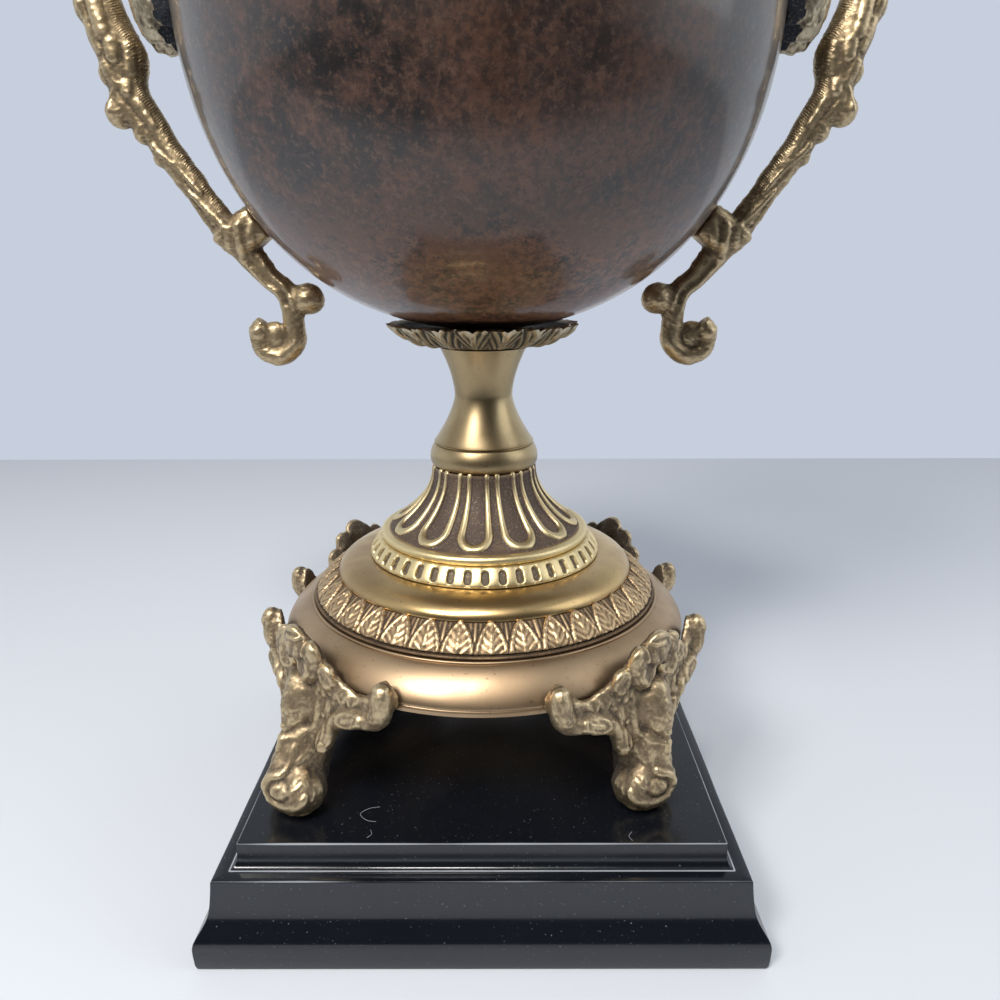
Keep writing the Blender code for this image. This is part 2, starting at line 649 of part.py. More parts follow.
def build_foot(name, heading, splay, aside, material):
    """One casting: winged bracket, boss, leg, scrolled toe and hidden lug."""
    back = DISH_RADIUS + 2.0 * FIT_GAP
    front = back + FOOT_PLATE
    chamfer = 0.29 * FOOT_PLATE
    crest_back = 0.14 * FOOT_PLATE
    crest_front = 0.57 * FOOT_PLATE
    edges = [(-turn, *rest) for turn, *rest in FOOT_EDGES[:0:-1]] + list(FOOT_EDGES)
    sections = []
    for turn, top, bottom, swell in edges:
        lean = FOOT_CREST_LEAN * smooth_step(1.0 - abs(turn) / 8.0)
        sections.append([
            foot_point(turn, back, bottom),
            foot_point(turn, front - chamfer, bottom),
            foot_point(turn, front + swell * FOOT_PLATE, 0.7 * bottom + 0.3 * top),
            foot_point(turn, front + 0.8 * swell * FOOT_PLATE, 0.3 * bottom + 0.7 * top),
            foot_point(turn, back + crest_front + lean, top),
            foot_point(turn, back + crest_back + lean, top),
        ])
    bracket = lofted("bracket", sections, material)

    leg_middle = front - FOOT_LEG_DEPTH / 2.0
    leg_sections = []
    for lift_share, reach, width, depth in (
            (0.96, -0.1, 0.5, 0.4), (0.7, 0.06, 1.25, 0.95), (0.42, 0.2, 0.96, 1.0), (0.2, 0.44, 0.88, 0.9)):
        loop = []
        bend = smooth_step((0.8 - lift_share) / 0.6)
        for k in range(8):
            turn = radians(45.0 * k + 22.5)
            out = (reach + 0.54 * depth * cos(turn)) * FOOT_LEG_DEPTH
            loop.append((leg_middle + bend * splay + out,
                         bend * aside + 0.54 * width * FOOT_LEG_WIDTH * sin(turn),
                         PLINTH_TOP + lift_share * FOOT_LIFT))
        leg_sections.append(loop)
    leg = lofted("leg", leg_sections, material)

    toe_sides = 9
    flat = 1.0 / cos(pi / toe_sides)
    toe_floor = PLINTH_TOP + FIT_GAP
    toe_sections = []
    for out, scale in ((-0.5, 0.9), (0.3, 1.0), (0.5, 0.78), (0.6, 0.3)):
        loop = []
        for k in range(toe_sides):
            turn = 2.0 * pi * (k + 0.25) / toe_sides
            loop.append((leg_middle + FOOT_TOE_REACH + splay + out * FOOT_TOE_DEPTH,
                         aside + 0.5 * scale * flat * FOOT_TOE_WIDTH * cos(turn),
                         toe_floor + 0.5 * FOOT_TOE_HEIGHT * (1.0 + scale * flat * sin(turn))))
        toe_sections.append(loop)
    toe = lofted("toe", toe_sections, material)

    boss_radii = (FOOT_BOSS_SWELL, FOOT_BOSS_HALF_WIDTH, FOOT_BOSS_HALF_HEIGHT)
    boss = blob("boss", foot_point(0.0, front + 0.2 * FOOT_BOSS_SWELL, 0.8), boss_radii, material, 6, 4)
    lug_top = DISH_BASE - FIT_GAP
    lug_sections = []
    for radius in (DISH_RADIUS - FOOT_LUG_LENGTH, front - chamfer):
        half = FOOT_LUG_WIDTH / 2.0
        lug_sections.append([(radius, -half, lug_top - FOOT_PLATE), (radius, half, lug_top - FOOT_PLATE),
                             (radius, half, lug_top), (radius, -half, lug_top)])
    lug = lofted("lug", lug_sections, material)
    foot = fuse(name, [bracket, leg, toe, boss, lug], material)
    foot.data.transform(Matrix.Rotation(radians(heading), 4, "Z"))


# Handles

# From the top end down: angle above the belly, stand-off from the body, half-widths towards
# and away from the body, and half-depth front to back; all but the angle are shares of the
# handle's own sizes
HANDLE_STATIONS = (
    (29.0, 0.02, 0.74, 0.74, 0.86), (28.6, 0.304, 0.65, 0.65, 0.79),
    (26.6, 0.642, 0.65, 0.73, 0.79), (21.5, 0.895, 0.7, 0.81, 0.86),
    (14.5, 1.0, 0.78, 0.81, 0.93), (6.0, 0.973, 0.86, 0.95, 1.0), (-1.0, 0.885, 1.0, 1.0, 1.0),
    (-5.6, 0.797, 1.22, 1.03, 1.0), (-9.0, 0.784, 0.95, 0.89, 0.86),
    (-11.6, 0.743, 0.78, 1.24, 0.86), (-15.0, 0.655, 0.73, 0.73, 0.74),
    (-20.0, 0.568, 0.7, 0.68, 0.69), (-26.0, 0.48, 0.69, 0.59, 0.63),
    (-32.0, 0.432, 0.73, 0.59, 0.69), (-36.5, 0.392, 0.73, 0.78, 0.77),
    (-40.5, 0.385, 0.76, 0.62, 0.66), (-46.5, 0.405, 0.62, 0.51, 0.57),
    (-50.8, 0.419, 0.62, 0.46, 0.57))


def sweep_section(centre, heading, inner, outer, depth, sides=6):
    """A closed section across a route in the XZ plane, with its own half-width on each side."""
    loop = []
    for k in range(sides):
        turn = 2.0 * pi * k / sides
        reach = (outer if cos(turn) > 0.0 else inner) * cos(turn)
        loop.append((centre[0] + reach * heading[1], depth * sin(turn), centre[1] - reach * heading[0]))
    return loop


def build_handle(name, side, material):
    """One handle: an acanthus top, a rod, a block against the body, a ball and a hook."""
    route = []
    for angle, standoff, inner, outer, depth in HANDLE_STATIONS:
        x, z = beside_body(angle, standoff * HANDLE_STANDOFF)
        route.append((x, z, inner * HANDLE_HALF_WIDTH, outer * HANDLE_HALF_WIDTH, depth * HANDLE_HALF_DEPTH))
    elbow = Vector(route[-1][:2])
    hook_centre = elbow + Vector((0.67 * HOOK_RADIUS, -HOOK_DROP))
    hook_steps = 8
    for i in range(hook_steps + 1):
        turn = radians(180.0 + HOOK_TURN * i / hook_steps)
        shrink = 1.0 - 0.22 * i / hook_steps
        width = HOOK_WIDTH * (0.5 - 0.05 * i / hook_steps)
        place = hook_centre + HOOK_RADIUS * shrink * Vector((cos(turn), sin(turn)))
        route.append((place.x, place.y, width, width, HOOK_HALF_DEPTH))
    sections = []
    for i, (x, z, inner, outer, depth) in enumerate(route):
        before = Vector(route[max(i - 1, 0)][:2])
        after = Vector(route[min(i + 1, len(route) - 1)][:2])
        heading = (after - before).normalized()
        if i == 0:
            _, _, out, up = body_outline(HANDLE_END_ANGLE)
            heading = Vector((out, up))
        sections.append(sweep_section((x, z), heading, outer, inner, depth))
    rod = lofted("rod", sections, material)

    ball_x, ball_z = beside_body(HANDLE_BALL_ANGLE, HANDLE_BALL_STANDOFF)
    ball = blob("ball", (ball_x, 0.0, ball_z), (HANDLE_BALL_RADIUS,) * 3, material, 8, 5)

    curl_place = (hook_centre.x + 0.06 * HOOK_RADIUS, 0.0, hook_centre.y + 0.08 * HOOK_RADIUS)
    curl_radii = (0.62 * HOOK_WIDTH, 0.8 * HOOK_HALF_DEPTH, 0.62 * HOOK_WIDTH)
    curl = blob("curl", curl_place, curl_radii, material, 8, 4)

    radius, height, out, up = body_outline(HANDLE_LUG_ANGLE)
    along = Vector((-up, out))
    lug_sections = []
    for clearance, size in ((2.0 * FIT_GAP, 1.0), (HANDLE_LUG_LENGTH, 0.9)):
        centre = Vector((radius + out * clearance, height + up * clearance))
        half = 0.5 * HANDLE_LUG_SIZE * size
        ends = (centre - along * half, centre + along * half)
        lug_sections.append([(ends[0].x, -half, ends[0].y), (ends[0].x, half, ends[0].y),
                             (ends[1].x, half, ends[1].y), (ends[1].x, -half, ends[1].y)])
    lug = lofted("lug", lug_sections, material)
    handle = fuse(name, [rod, ball, curl, lug], material)
    if side < 0:
        handle.data.transform(Matrix.Diagonal((-1.0, 1.0, 1.0, 1.0)))
        handle.data.flip_normals()
    return handle


# Side mounts

def build_side_mount(name, side, material):
    """A leaf cartouche that hugs the body, with a lobed and jagged lower edge."""
    columns = 2 * MOUNT_LOBES
    rows = 4
    sections = []
    for i in range(columns + 1):
        across = -1.0 + 2.0 * i / columns
        fullness = (1.0 - across * across) ** 0.5 if abs(across) < 1.0 else 0.0
        crest = i % 2
        turn = radians(MOUNT_HALF_WIDTH * across)
        low = MOUNT_LOW_ANGLE + (1.0 - fullness) * MOUNT_LOW_RISE + (0.0 if crest else MOUNT_JAG)
        high = MOUNT_HIGH_ANGLE - (1.0 - fullness) * MOUNT_HIGH_DROP
        inner = []
        outer = []
        for j in range(rows + 1):
            share = j / rows
            angle = low + (high - low) * share
            bulge = MOUNT_BULGE * (0.25 + 0.75 * fullness) - MOUNT_EDGE
            swell = MOUNT_EDGE + bulge * sin(pi * min(0.12 + 0.95 * share, 1.0)) ** 0.4
            groove = 0.0 if crest else MOUNT_GROOVE * fullness
            outer_clearance = 2.0 * FIT_GAP + MOUNT_WALL + swell - groove
            for target, clearance in ((inner, 2.0 * FIT_GAP), (outer, outer_clearance)):
                radius, height = beside_body(angle, clearance)
                target.append((side * radius * cos(turn), radius * sin(turn), height))
        sections.append(inner + outer[::-1])
    return lofted(name, sections, material)


def remove_all_objects():
    """Start from an empty scene."""
    for obj in list(bpy.data.objects):
        bpy.data.objects.remove(obj)


def main():
    remove_all_objects()
    black = make_material("black_stone", (0.012, 0.013, 0.016), 0.18, 0.0)
    brass = make_material("aged_brass", (0.48, 0.34, 0.14), 0.34, 1.0)
    cast = make_material("cast_brass", (0.34, 0.25, 0.12), 0.48, 1.0)
    glaze = make_material("mottled_glaze", (0.11, 0.05, 0.03), 0.08, 0.0)
    build_plinth(black)
    for name, heading, splay, aside in FOOT_TURNS:
        build_foot(name, heading, splay, aside, cast)
    build_dish(brass)
    build_leaf_band(cast)
    build_cushion(brass)
    build_fluted_cone(brass)
    build_stem(brass)
    build_leaf_cup(cast)
    build_body(glaze)
    build_neck_rim(brass)
    build_lid(glaze)
    build_finial(brass)
    for side, word in ((1, "right"), (-1, "left")):
        build_handle("handle_" + word, side, cast)
        build_side_mount("side_mount_" + word, side, cast)


main()
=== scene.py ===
# %% [markdown]
# # Mantel urn: mottled ceramic, cast and turned brass, black stone
#
# The urn is a garniture piece. A hollow glazed vase sits in brass mounts, and the whole stands on a
# stepped black plinth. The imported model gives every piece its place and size. This script keeps those
# and adds what a solid for collisions leaves out: leaves with veins, sunk tongues, scrolled feet,
# patina in the recesses, a mottled glaze and a worn stone edge.
#
# Each piece could be made by hand in Edit Mode, but every form here follows a rule, so functions
# make the meshes: turned pieces from an outline, and castings from overlapping lumps of "clay" that
# a voxel remesh melts together, which is close to how wax is built up before it is cast.

from math import acos, cos, degrees, hypot, pi, radians, sin, sqrt

import bmesh
import bpy
import numpy as np
from mathutils import Matrix, Vector


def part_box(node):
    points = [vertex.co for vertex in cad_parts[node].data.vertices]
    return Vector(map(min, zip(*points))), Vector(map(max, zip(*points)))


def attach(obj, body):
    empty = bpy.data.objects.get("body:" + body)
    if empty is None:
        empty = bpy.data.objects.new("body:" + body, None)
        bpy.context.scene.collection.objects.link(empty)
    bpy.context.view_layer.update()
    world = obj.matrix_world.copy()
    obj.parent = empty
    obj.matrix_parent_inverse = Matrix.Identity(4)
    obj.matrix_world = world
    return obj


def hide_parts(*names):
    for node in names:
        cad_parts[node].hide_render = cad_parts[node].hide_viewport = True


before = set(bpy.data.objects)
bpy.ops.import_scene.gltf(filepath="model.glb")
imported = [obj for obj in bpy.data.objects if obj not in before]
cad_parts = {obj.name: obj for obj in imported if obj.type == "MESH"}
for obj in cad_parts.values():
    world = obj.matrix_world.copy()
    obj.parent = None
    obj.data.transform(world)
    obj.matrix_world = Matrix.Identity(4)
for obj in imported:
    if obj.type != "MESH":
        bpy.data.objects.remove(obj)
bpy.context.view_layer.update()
MM = 0.001


# %% Places read from the frame
def low(node):
    """Height of a node's lowest point, in millimetres."""
    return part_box(node)[0][2] / MM


def high(node):
    """Height of a node's highest point, in millimetres."""
    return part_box(node)[1][2] / MM


def reach(node):
    """How far a node runs along +X from the turning axis, in millimetres."""
    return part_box(node)[1][0] / MM


def put_in_scene(name, data):
    """An object for a mesh, a lamp or a camera, in the scene."""
    obj = bpy.data.objects.new(name, data)
    bpy.context.collection.objects.link(obj)
    return obj


print("plinth top", high("plinth"), "dish", reach("base_dish"), "body", reach("body"))

# %% [markdown]
# ## Helpers for materials
#
# A material is a small network of nodes. These helpers add one node each and return the value that
# it gives, so that a finish can be written as a few lines of sums instead of a page of links.

# %% Node helpers
def make_group(name, inputs, outputs):
    """An empty node group with named sockets; returns the tree and its two end nodes."""
    tree = bpy.data.node_groups.new(name, "ShaderNodeTree")
    for label, kind, value in inputs:
        socket = tree.interface.new_socket(name=label, in_out="INPUT", socket_type=kind)
        socket.default_value = value
    for label, kind in outputs:
        tree.interface.new_socket(name=label, in_out="OUTPUT", socket_type=kind)
    return tree, tree.nodes.new("NodeGroupInput"), tree.nodes.new("NodeGroupOutput")


def add(tree, kind, links=None, **settings):
    """Add a node, set its plain settings and link its inputs; a value is set when it isn't a socket."""
    node = tree.nodes.new(kind)
    for key, value in settings.items():
        setattr(node, key, value)
    for label, value in (links or {}).items():
        socket = node.inputs[label]
        if isinstance(value, bpy.types.NodeSocket):
            tree.links.new(value, socket)
        else:
            socket.default_value = value
    return node


def ramp(tree, value, low_end, high_end, start=0.0, stop=1.0):
    """Carry a value from one range to another, smoothly and clamped."""
    node = add(tree, "ShaderNodeMapRange", {"Value": value, "From Min": low_end, "From Max": high_end,
                                            "To Min": start, "To Max": stop}, interpolation_type="SMOOTHSTEP")
    return node.outputs["Result"]


def blend(tree, factor, first, second):
    """Mix two colours by a factor."""
    node = add(tree, "ShaderNodeMix", data_type="RGBA")
    for label, value in (("Factor", factor), ("A", first), ("B", second)):
        sockets = [s for s in node.inputs if s.name == label and s.enabled]
        if isinstance(value, bpy.types.NodeSocket):
            tree.links.new(value, sockets[0])
        elif label == "Factor":
            sockets[0].default_value = value
        else:
            sockets[0].default_value = (*value, 1.0)
    return [s for s in node.outputs if s.enabled][0]


def place_on(tree):
    """The place on a piece, in metres."""
    return add(tree, "ShaderNodeTexCoord").outputs["Object"]


def part_of(tree, vector, axis):
    """One coordinate of a vector."""
    return add(tree, "ShaderNodeSeparateXYZ", {"Vector": vector}).outputs[axis]


def noise(tree, scale, detail=4.0, roughness=0.5, where=None, distortion=0.0):
    """A noise value over the piece, with a number of lumps per metre."""
    where = place_on(tree) if where is None else where
    links = {"Vector": where, "Scale": scale, "Detail": detail, "Roughness": roughness,
             "Distortion": distortion}
    return add(tree, "ShaderNodeTexNoise", links).outputs["Fac"]


def attribute(tree, name):
    """A value stored on the points of the mesh."""
    return add(tree, "ShaderNodeAttribute", attribute_name=name).outputs["Fac"]


def calculate(tree, operation, first, second=0.0):
    """A value worked out from one or two others."""
    return add(tree, "ShaderNodeMath", {0: first, 1: second}, operation=operation).outputs[0]


def times(tree, first, second):
    """Two values multiplied."""
    return calculate(tree, "MULTIPLY", first, second)


def finish(name, **constants):
    """A material with its shader and tree; constants go straight onto the shader."""
    material = bpy.data.materials.new(name)
    material.use_nodes = True
    tree = material.node_tree
    shader = tree.nodes["Principled BSDF"]
    for label, value in constants.items():
        label = label.replace("_", " ").title().replace("Ior", "IOR")
        shader.inputs[label].default_value = (*value, 1.0) if isinstance(value, tuple) else value
    return material, tree, shader


print("node helpers ready")

# %% [markdown]
# ## Camera, floor and light
#
# The square plinth tells where the photograph was taken from: its edges and corners fix the lens,
# the tilt and the distance. The camera below repeats that. It sits close, about 29 cm away, with a
# wide lens, so near things look larger, and this has to be matched before any shape is judged.
#
# The set is a pale table with a straight far edge and a pale world behind it. Polished metal and
# glaze show what stands around them, so the world is bright at the sides and darker in front,
# where a room is. The camera itself only sees the plain pale tone.

# %% Camera
LENS = 28.93
CAMERA_PLACE = (6.21, -288.59, 213.43)
CAMERA_TILT = 0.2912
CAMERA_TURN = -0.0013
CAMERA_ROLL = -0.0020


def place_camera():
    """A camera where the photograph was taken from, tilted down at the urn."""
    level = cos(CAMERA_TILT)
    ahead = Vector((sin(CAMERA_TURN) * level, cos(CAMERA_TURN) * level, -sin(CAMERA_TILT)))
    side = Vector((cos(CAMERA_TURN), -sin(CAMERA_TURN), 0.0))
    above = side.cross(ahead)
    right = cos(CAMERA_ROLL) * side + sin(CAMERA_ROLL) * above
    up = cos(CAMERA_ROLL) * above - sin(CAMERA_ROLL) * side
    data = bpy.data.cameras.new("camera")
    data.lens = LENS
    data.clip_start = 0.01
    camera = put_in_scene("camera", data)
    turn = Matrix((right, up, -ahead)).transposed().to_4x4()
    camera.matrix_world = Matrix.Translation(Vector(CAMERA_PLACE) * MM) @ turn
    bpy.context.scene.camera = camera
    return camera


camera = place_camera()
print("camera", [round(v, 3) for v in camera.matrix_world.translation])

# %% Floor and world
FLOOR_FAR_EDGE = 0.583
FLOOR_NEAR_EDGE = -2.4
FLOOR_HALF_WIDTH = 2.0
FLOOR_COLOUR = (0.66, 0.685, 0.73)
TABLE_END = (-0.42, -0.28)
SKY_SEEN = (0.600, 0.655, 0.765)
SKY_LIGHT = (0.86, 0.92, 1.0)
SKY_STRENGTH = 0.95
SKY_HIGH = (0.46, 0.49, 0.54)
HIGH_EDGE = (0.25, 0.7)
ROOM_DARK = (0.05, 0.05, 0.055)
ROOM_EDGE = (0.25, 0.75)


def make_floor():
    """A plain pale table top with a straight far edge."""
    mesh = bpy.data.meshes.new("floor")
    corners = [(-FLOOR_HALF_WIDTH, FLOOR_NEAR_EDGE, 0), (FLOOR_HALF_WIDTH, FLOOR_NEAR_EDGE, 0),
               (FLOOR_HALF_WIDTH, FLOOR_FAR_EDGE, 0), (-FLOOR_HALF_WIDTH, FLOOR_FAR_EDGE, 0)]
    mesh.from_pydata(corners, [], [(0, 1, 2, 3)])
    floor = put_in_scene("floor", mesh)
    material, tree, shader = finish("pale_floor", roughness=0.75, specular_ior_level=0.1)
    along = part_of(tree, place_on(tree), "Y")
    start, stop = TABLE_END
    end = add(tree, "ShaderNodeMapRange", {"Value": along, "From Min": start, "From Max": stop})
    ray = add(tree, "ShaderNodeLightPath")
    lit = calculate(tree, "MAXIMUM", end.outputs["Result"], ray.outputs["Is Camera Ray"])
    tree.links.new(blend(tree, lit, ROOM_DARK, FLOOR_COLOUR), shader.inputs["Base Color"])
    mesh.materials.append(material)


def make_world():
    """A bright world with a darker room in front, and a plain tone where the camera looks past."""
    world = bpy.data.worlds.new("pale_room")
    world.use_nodes = True
    tree = world.node_tree
    back = tree.nodes["Background"]
    way = add(tree, "ShaderNodeTexCoord").outputs["Generated"]
    forward = times(tree, part_of(tree, way, "Y"), -1.0)
    sky = blend(tree, ramp(tree, part_of(tree, way, "Z"), *HIGH_EDGE), SKY_LIGHT, SKY_HIGH)
    room = blend(tree, ramp(tree, forward, *ROOM_EDGE), sky, ROOM_DARK)
    seen = blend(tree, add(tree, "ShaderNodeLightPath").outputs["Is Camera Ray"], room, SKY_SEEN)
    tree.links.new(seen, back.inputs["Color"])
    back.inputs["Strength"].default_value = SKY_STRENGTH
    bpy.context.scene.world = world


make_floor()
make_world()
scene = bpy.context.scene
scene.view_settings.view_transform = "Standard"
scene.view_settings.look = "None"
print("floor and world made")

# %% Lights
LIGHTS = (("window_left", (-0.42, -0.62, 0.80), 0.26, 6.5, (1.0, 0.97, 0.93)),
          ("window_high", (-0.10, -0.60, 1.00), 0.18, 5.5, (1.0, 0.98, 0.95)),
          ("fill_right", (0.80, -0.20, 0.60), 0.60, 1.4, (0.93, 0.96, 1.0)))


def make_lights():
    """Soft square lamps that face the middle of the urn."""
    aim = Vector((0.0, 0.0, 0.15))
    for name, place, size, power, colour in LIGHTS:
        data = bpy.data.lights.new(name, "AREA")
        data.energy = power
        data.size = size
        data.color = colour
        lamp = put_in_scene(name, data)
        lamp.location = place
        lamp.rotation_euler = (aim - Vector(place)).to_track_quat("-Z", "Y").to_euler()


make_lights()
print(len(LIGHTS), "soft lamps")

# %% [markdown]
# ## Mesh helpers
#
# A turned piece is a closed outline carried round the axis. Blender's Screw modifier does that too,
# but here many outlines carry a relief that changes round the axis, so the points are worked out
# as one grid with numpy: rows follow the outline and columns go round. The same grid function
# serves the plinth, whose columns run round a square.

# %% Grids and curves
def new_object(name, points, faces, smooth_angle=40.0):
    """An object from millimetre points and faces, shaded smooth up to an angle."""
    mesh = bpy.data.meshes.new(name)
    mesh.from_pydata((np.asarray(points) * MM).tolist(), [], faces)
    mesh.shade_smooth()
    mesh.set_sharp_from_angle(angle=radians(smooth_angle))
    return put_in_scene(name, mesh)


def grid_faces(rows, columns, close_rows):
    """Quads over a grid whose columns close on themselves, and whose rows may."""
    count = rows if close_rows else rows - 1
    row, column = np.meshgrid(np.arange(count), np.arange(columns), indexing="ij")
    after_row = (row + 1) % rows
    after_column = (column + 1) % columns
    quads = np.stack([row * columns + column, row * columns + after_column,
                      after_row * columns + after_column, after_row * columns + column], axis=-1)
    return quads.reshape(-1, 4).tolist()


def smooth_path(points, count):
    """Points along a curve that passes through the given ones, evenly shared between them."""
    points = np.asarray(points, dtype=float)
    padded = np.vstack([2 * points[0] - points[1], points, 2 * points[-1] - points[-2]])
    places = np.linspace(0.0, len(points) - 1.0, count)
    start = np.minimum(places.astype(int), len(points) - 2)
    t = (places - start)[:, None]
    a, b, c, d = (padded[start + k] for k in range(4))
    square = 2 * a - 5 * b + 4 * c - d
    cube = 3 * b - a - 3 * c + d
    return 0.5 * (2 * b + (c - a) * t + square * t ** 2 + cube * t ** 3)


def resample(outline, step):
    """The same outline, with corners kept and its long runs cut into short steps."""
    result = []
    for (x0, y0), (x1, y1) in zip(outline, outline[1:]):
        pieces = max(1, int(round(hypot(x1 - x0, y1 - y0) / step)))
        for i in range(pieces):
            result.append((x0 + (x1 - x0) * i / pieces, y0 + (y1 - y0) * i / pieces))
    result.append(outline[-1])
    return result


def shares(steps):
    """Shares from 0 to 1, in a number of even steps."""
    return [i / steps for i in range(steps + 1)]


def arc(centre, radii, start, end, steps):
    """Points on an arc of a circle or an oval, from a start to an end angle in degrees."""
    wide, tall = np.broadcast_to(radii, 2)
    turns = np.radians(np.linspace(start, end, steps + 1))
    return [(centre[0] + wide * cos(t), centre[1] + tall * sin(t)) for t in turns]


def ease(share):
    """Go from 0 to 1 with a soft start and a soft end."""
    share = np.clip(share, 0.0, 1.0)
    return share * share * (3.0 - 2.0 * share)


def turned(name, outline, columns=192, relief=None, smooth_angle=40.0):
    """Carry a closed outline of (radius, height) round the axis, pushed out by a relief grid."""
    outline = np.asarray(outline, dtype=float)
    angle = 2.0 * pi * np.arange(columns) / columns
    radius = np.repeat(outline[:, :1], columns, axis=1)
    height = np.repeat(outline[:, 1:], columns, axis=1)
    if relief is not None:
        along = np.roll(outline, -1, axis=0) - np.roll(outline, 1, axis=0)
        along /= np.maximum(np.linalg.norm(along, axis=1), 1e-6)[:, None]
        radius = radius + relief * along[:, 1:]
        height = height - relief * along[:, :1]
    points = np.stack([radius * np.cos(angle), radius * np.sin(angle), height], axis=-1)
    faces = grid_faces(len(outline), columns, True)
    obj = new_object(name, points.reshape(-1, 3), faces, smooth_angle)
    if relief is not None:
        store(obj, "relief", relief.ravel())
    clean(obj)
    return obj


def store(obj, name, values):
    """Keep one value for each point of a mesh, for its material to read."""
    layer = obj.data.attributes.get(name) or obj.data.attributes.new(name, "FLOAT", "POINT")
    layer.data.foreach_set("value", np.asarray(values, dtype=np.float32).ravel())


def clean(obj):
    """Merge the points that meet on the axis, and drop the faces that this leaves flat."""
    builder = bmesh.new()
    builder.from_mesh(obj.data)
    bmesh.ops.remove_doubles(builder, verts=builder.verts, dist=0.002 * MM)
    bmesh.ops.dissolve_degenerate(builder, edges=builder.edges, dist=0.001 * MM)
    bmesh.ops.recalc_face_normals(builder, faces=builder.faces)
    builder.to_mesh(obj.data)
    builder.free()


print("mesh helpers ready")

# %% [markdown]
# ## Clay: castings from overlapping lumps
#
# A foot or a handle is free work with leaves and scrolls on it. It is built here from balls, ropes and
# plates that overlap, and a voxel remesh joins them into one skin. Sculpting with brushes would
# also do it, but lumps with named places can be moved and tried again, and the same mould
# serves all four feet. Every casting then gets two measures per point: how deep the point lies
# in a fine hollow, and how deep in a broad one. The materials put the dark patina there.

# %% Lumps
def ball(centre, radii):
    """A ball or egg: its points in millimetres and its faces."""
    rows, columns = 9, 16
    down = pi * np.arange(1, rows) / rows
    around = 2.0 * pi * np.arange(columns) / columns
    ring = np.stack([np.outer(np.sin(down), np.cos(around)), np.outer(np.sin(down), np.sin(around)),
                     np.repeat(np.cos(down)[:, None], columns, axis=1)], axis=-1).reshape(-1, 3)
    points = np.vstack([ring, [[0, 0, 1], [0, 0, -1]]]) * np.asarray(radii, dtype=float)
    faces = grid_faces(rows - 1, columns, False)
    top, bottom = len(ring), len(ring) + 1
    last = (rows - 2) * columns
    faces += [(top, (i + 1) % columns, i) for i in range(columns)]
    faces += [(bottom, last + i, last + (i + 1) % columns) for i in range(columns)]
    return points + np.asarray(centre, dtype=float), faces


def skin(sections):
    """A closed skin over a row of closed sections, with both ends capped."""
    sections = np.asarray(sections, dtype=float)
    rows, columns = sections.shape[:2]
    faces = grid_faces(rows, columns, False)
    faces.append(tuple(range(columns))[::-1])
    faces.append(tuple((rows - 1) * columns + i for i in range(columns)))
    return sections.reshape(-1, 3), faces


def rope(path, radii, sides=10, steps=6, flat=1.0):
    """A rope along a smooth path, with a radius at each given point and rounded ends."""
    path = np.asarray(path, dtype=float)
    radii = np.broadcast_to(np.asarray(radii, dtype=float), (len(path),))
    count = (len(path) - 1) * steps + 1
    line = smooth_path(np.column_stack([path, radii]), count)
    places, widths = line[:, :3], np.maximum(line[:, 3], 0.05)
    ahead = np.gradient(places, axis=0)
    ahead /= np.linalg.norm(ahead, axis=1)[:, None]
    start = places[0] - ahead[0] * widths[0]
    end = places[-1] + ahead[-1] * widths[-1]
    places = np.vstack([start, places[0] - ahead[0] * 0.7 * widths[0], places,
                        places[-1] + ahead[-1] * 0.7 * widths[-1], end])
    widths = np.concatenate([[0.05], [0.7 * widths[0]], widths, [0.7 * widths[-1]], [0.05]])
    ahead = np.vstack([ahead[0], ahead[0], ahead, ahead[-1], ahead[-1]])
    side = np.cross(ahead, (0.0, 0.0, 1.0))
    weak = np.linalg.norm(side, axis=1) < 0.2
    side[weak] = np.cross(ahead[weak], (0.0, 1.0, 0.0))
    side /= np.linalg.norm(side, axis=1)[:, None]
    above = np.cross(side, ahead)
    turn = 2.0 * pi * np.arange(sides) / sides
    sections = (places[:, None, :] + widths[:, None, None] * (np.cos(turn)[None, :, None] * side[:, None, :]
                + flat * np.sin(turn)[None, :, None] * above[:, None, :]))
    return skin(sections)


print("lumps ready: ball, skin and rope")


# %% Melting the lumps together
def edge_ends(mesh):
    """The two ends of every edge, as two arrays."""
    pairs = np.empty(len(mesh.edges) * 2, dtype=np.int32)
    mesh.edges.foreach_get("vertices", pairs)
    return pairs[0::2], pairs[1::2]


def read_points(mesh):
    """Vertex positions as an array, in millimetres."""
    values = np.empty(len(mesh.vertices) * 3)
    mesh.vertices.foreach_get("co", values)
    return values.reshape(-1, 3) / MM


def read_normals(mesh):
    """Vertex normals as an array."""
    values = np.empty(len(mesh.vertices) * 3, dtype=np.float32)
    mesh.vertex_normals.foreach_get("vector", values)
    return values.reshape(-1, 3).astype(float)


def write_points(mesh, points):
    """Move the vertices to new positions, given in millimetres."""
    mesh.vertices.foreach_set("co", (points * MM).ravel())
    mesh.update()


def read_values(obj, name):
    """The values stored on the points of a mesh."""
    values = np.empty(len(obj.data.vertices), dtype=np.float32)
    obj.data.attributes[name].data.foreach_get("value", values)
    return values


def settle(obj):
    """The mesh that an object has after its modifiers."""
    bpy.context.view_layer.update()
    graph = bpy.context.evaluated_depsgraph_get()
    return bpy.data.meshes.new_from_object(obj.evaluated_get(graph), depsgraph=graph)


def relax(points, ends, rounds, strength=0.5):
    """Move every point towards the mean of its neighbours, a number of rounds."""
    first, second = ends
    count = len(points)
    around = np.maximum(np.bincount(first, minlength=count) + np.bincount(second, minlength=count), 1)
    for _ in range(rounds):
        mean = np.empty_like(points)
        for k in range(3):
            total = np.bincount(first, weights=points[second, k], minlength=count)
            total += np.bincount(second, weights=points[first, k], minlength=count)
            mean[:, k] = total / around
        points = points + strength * (mean - points)
    return points


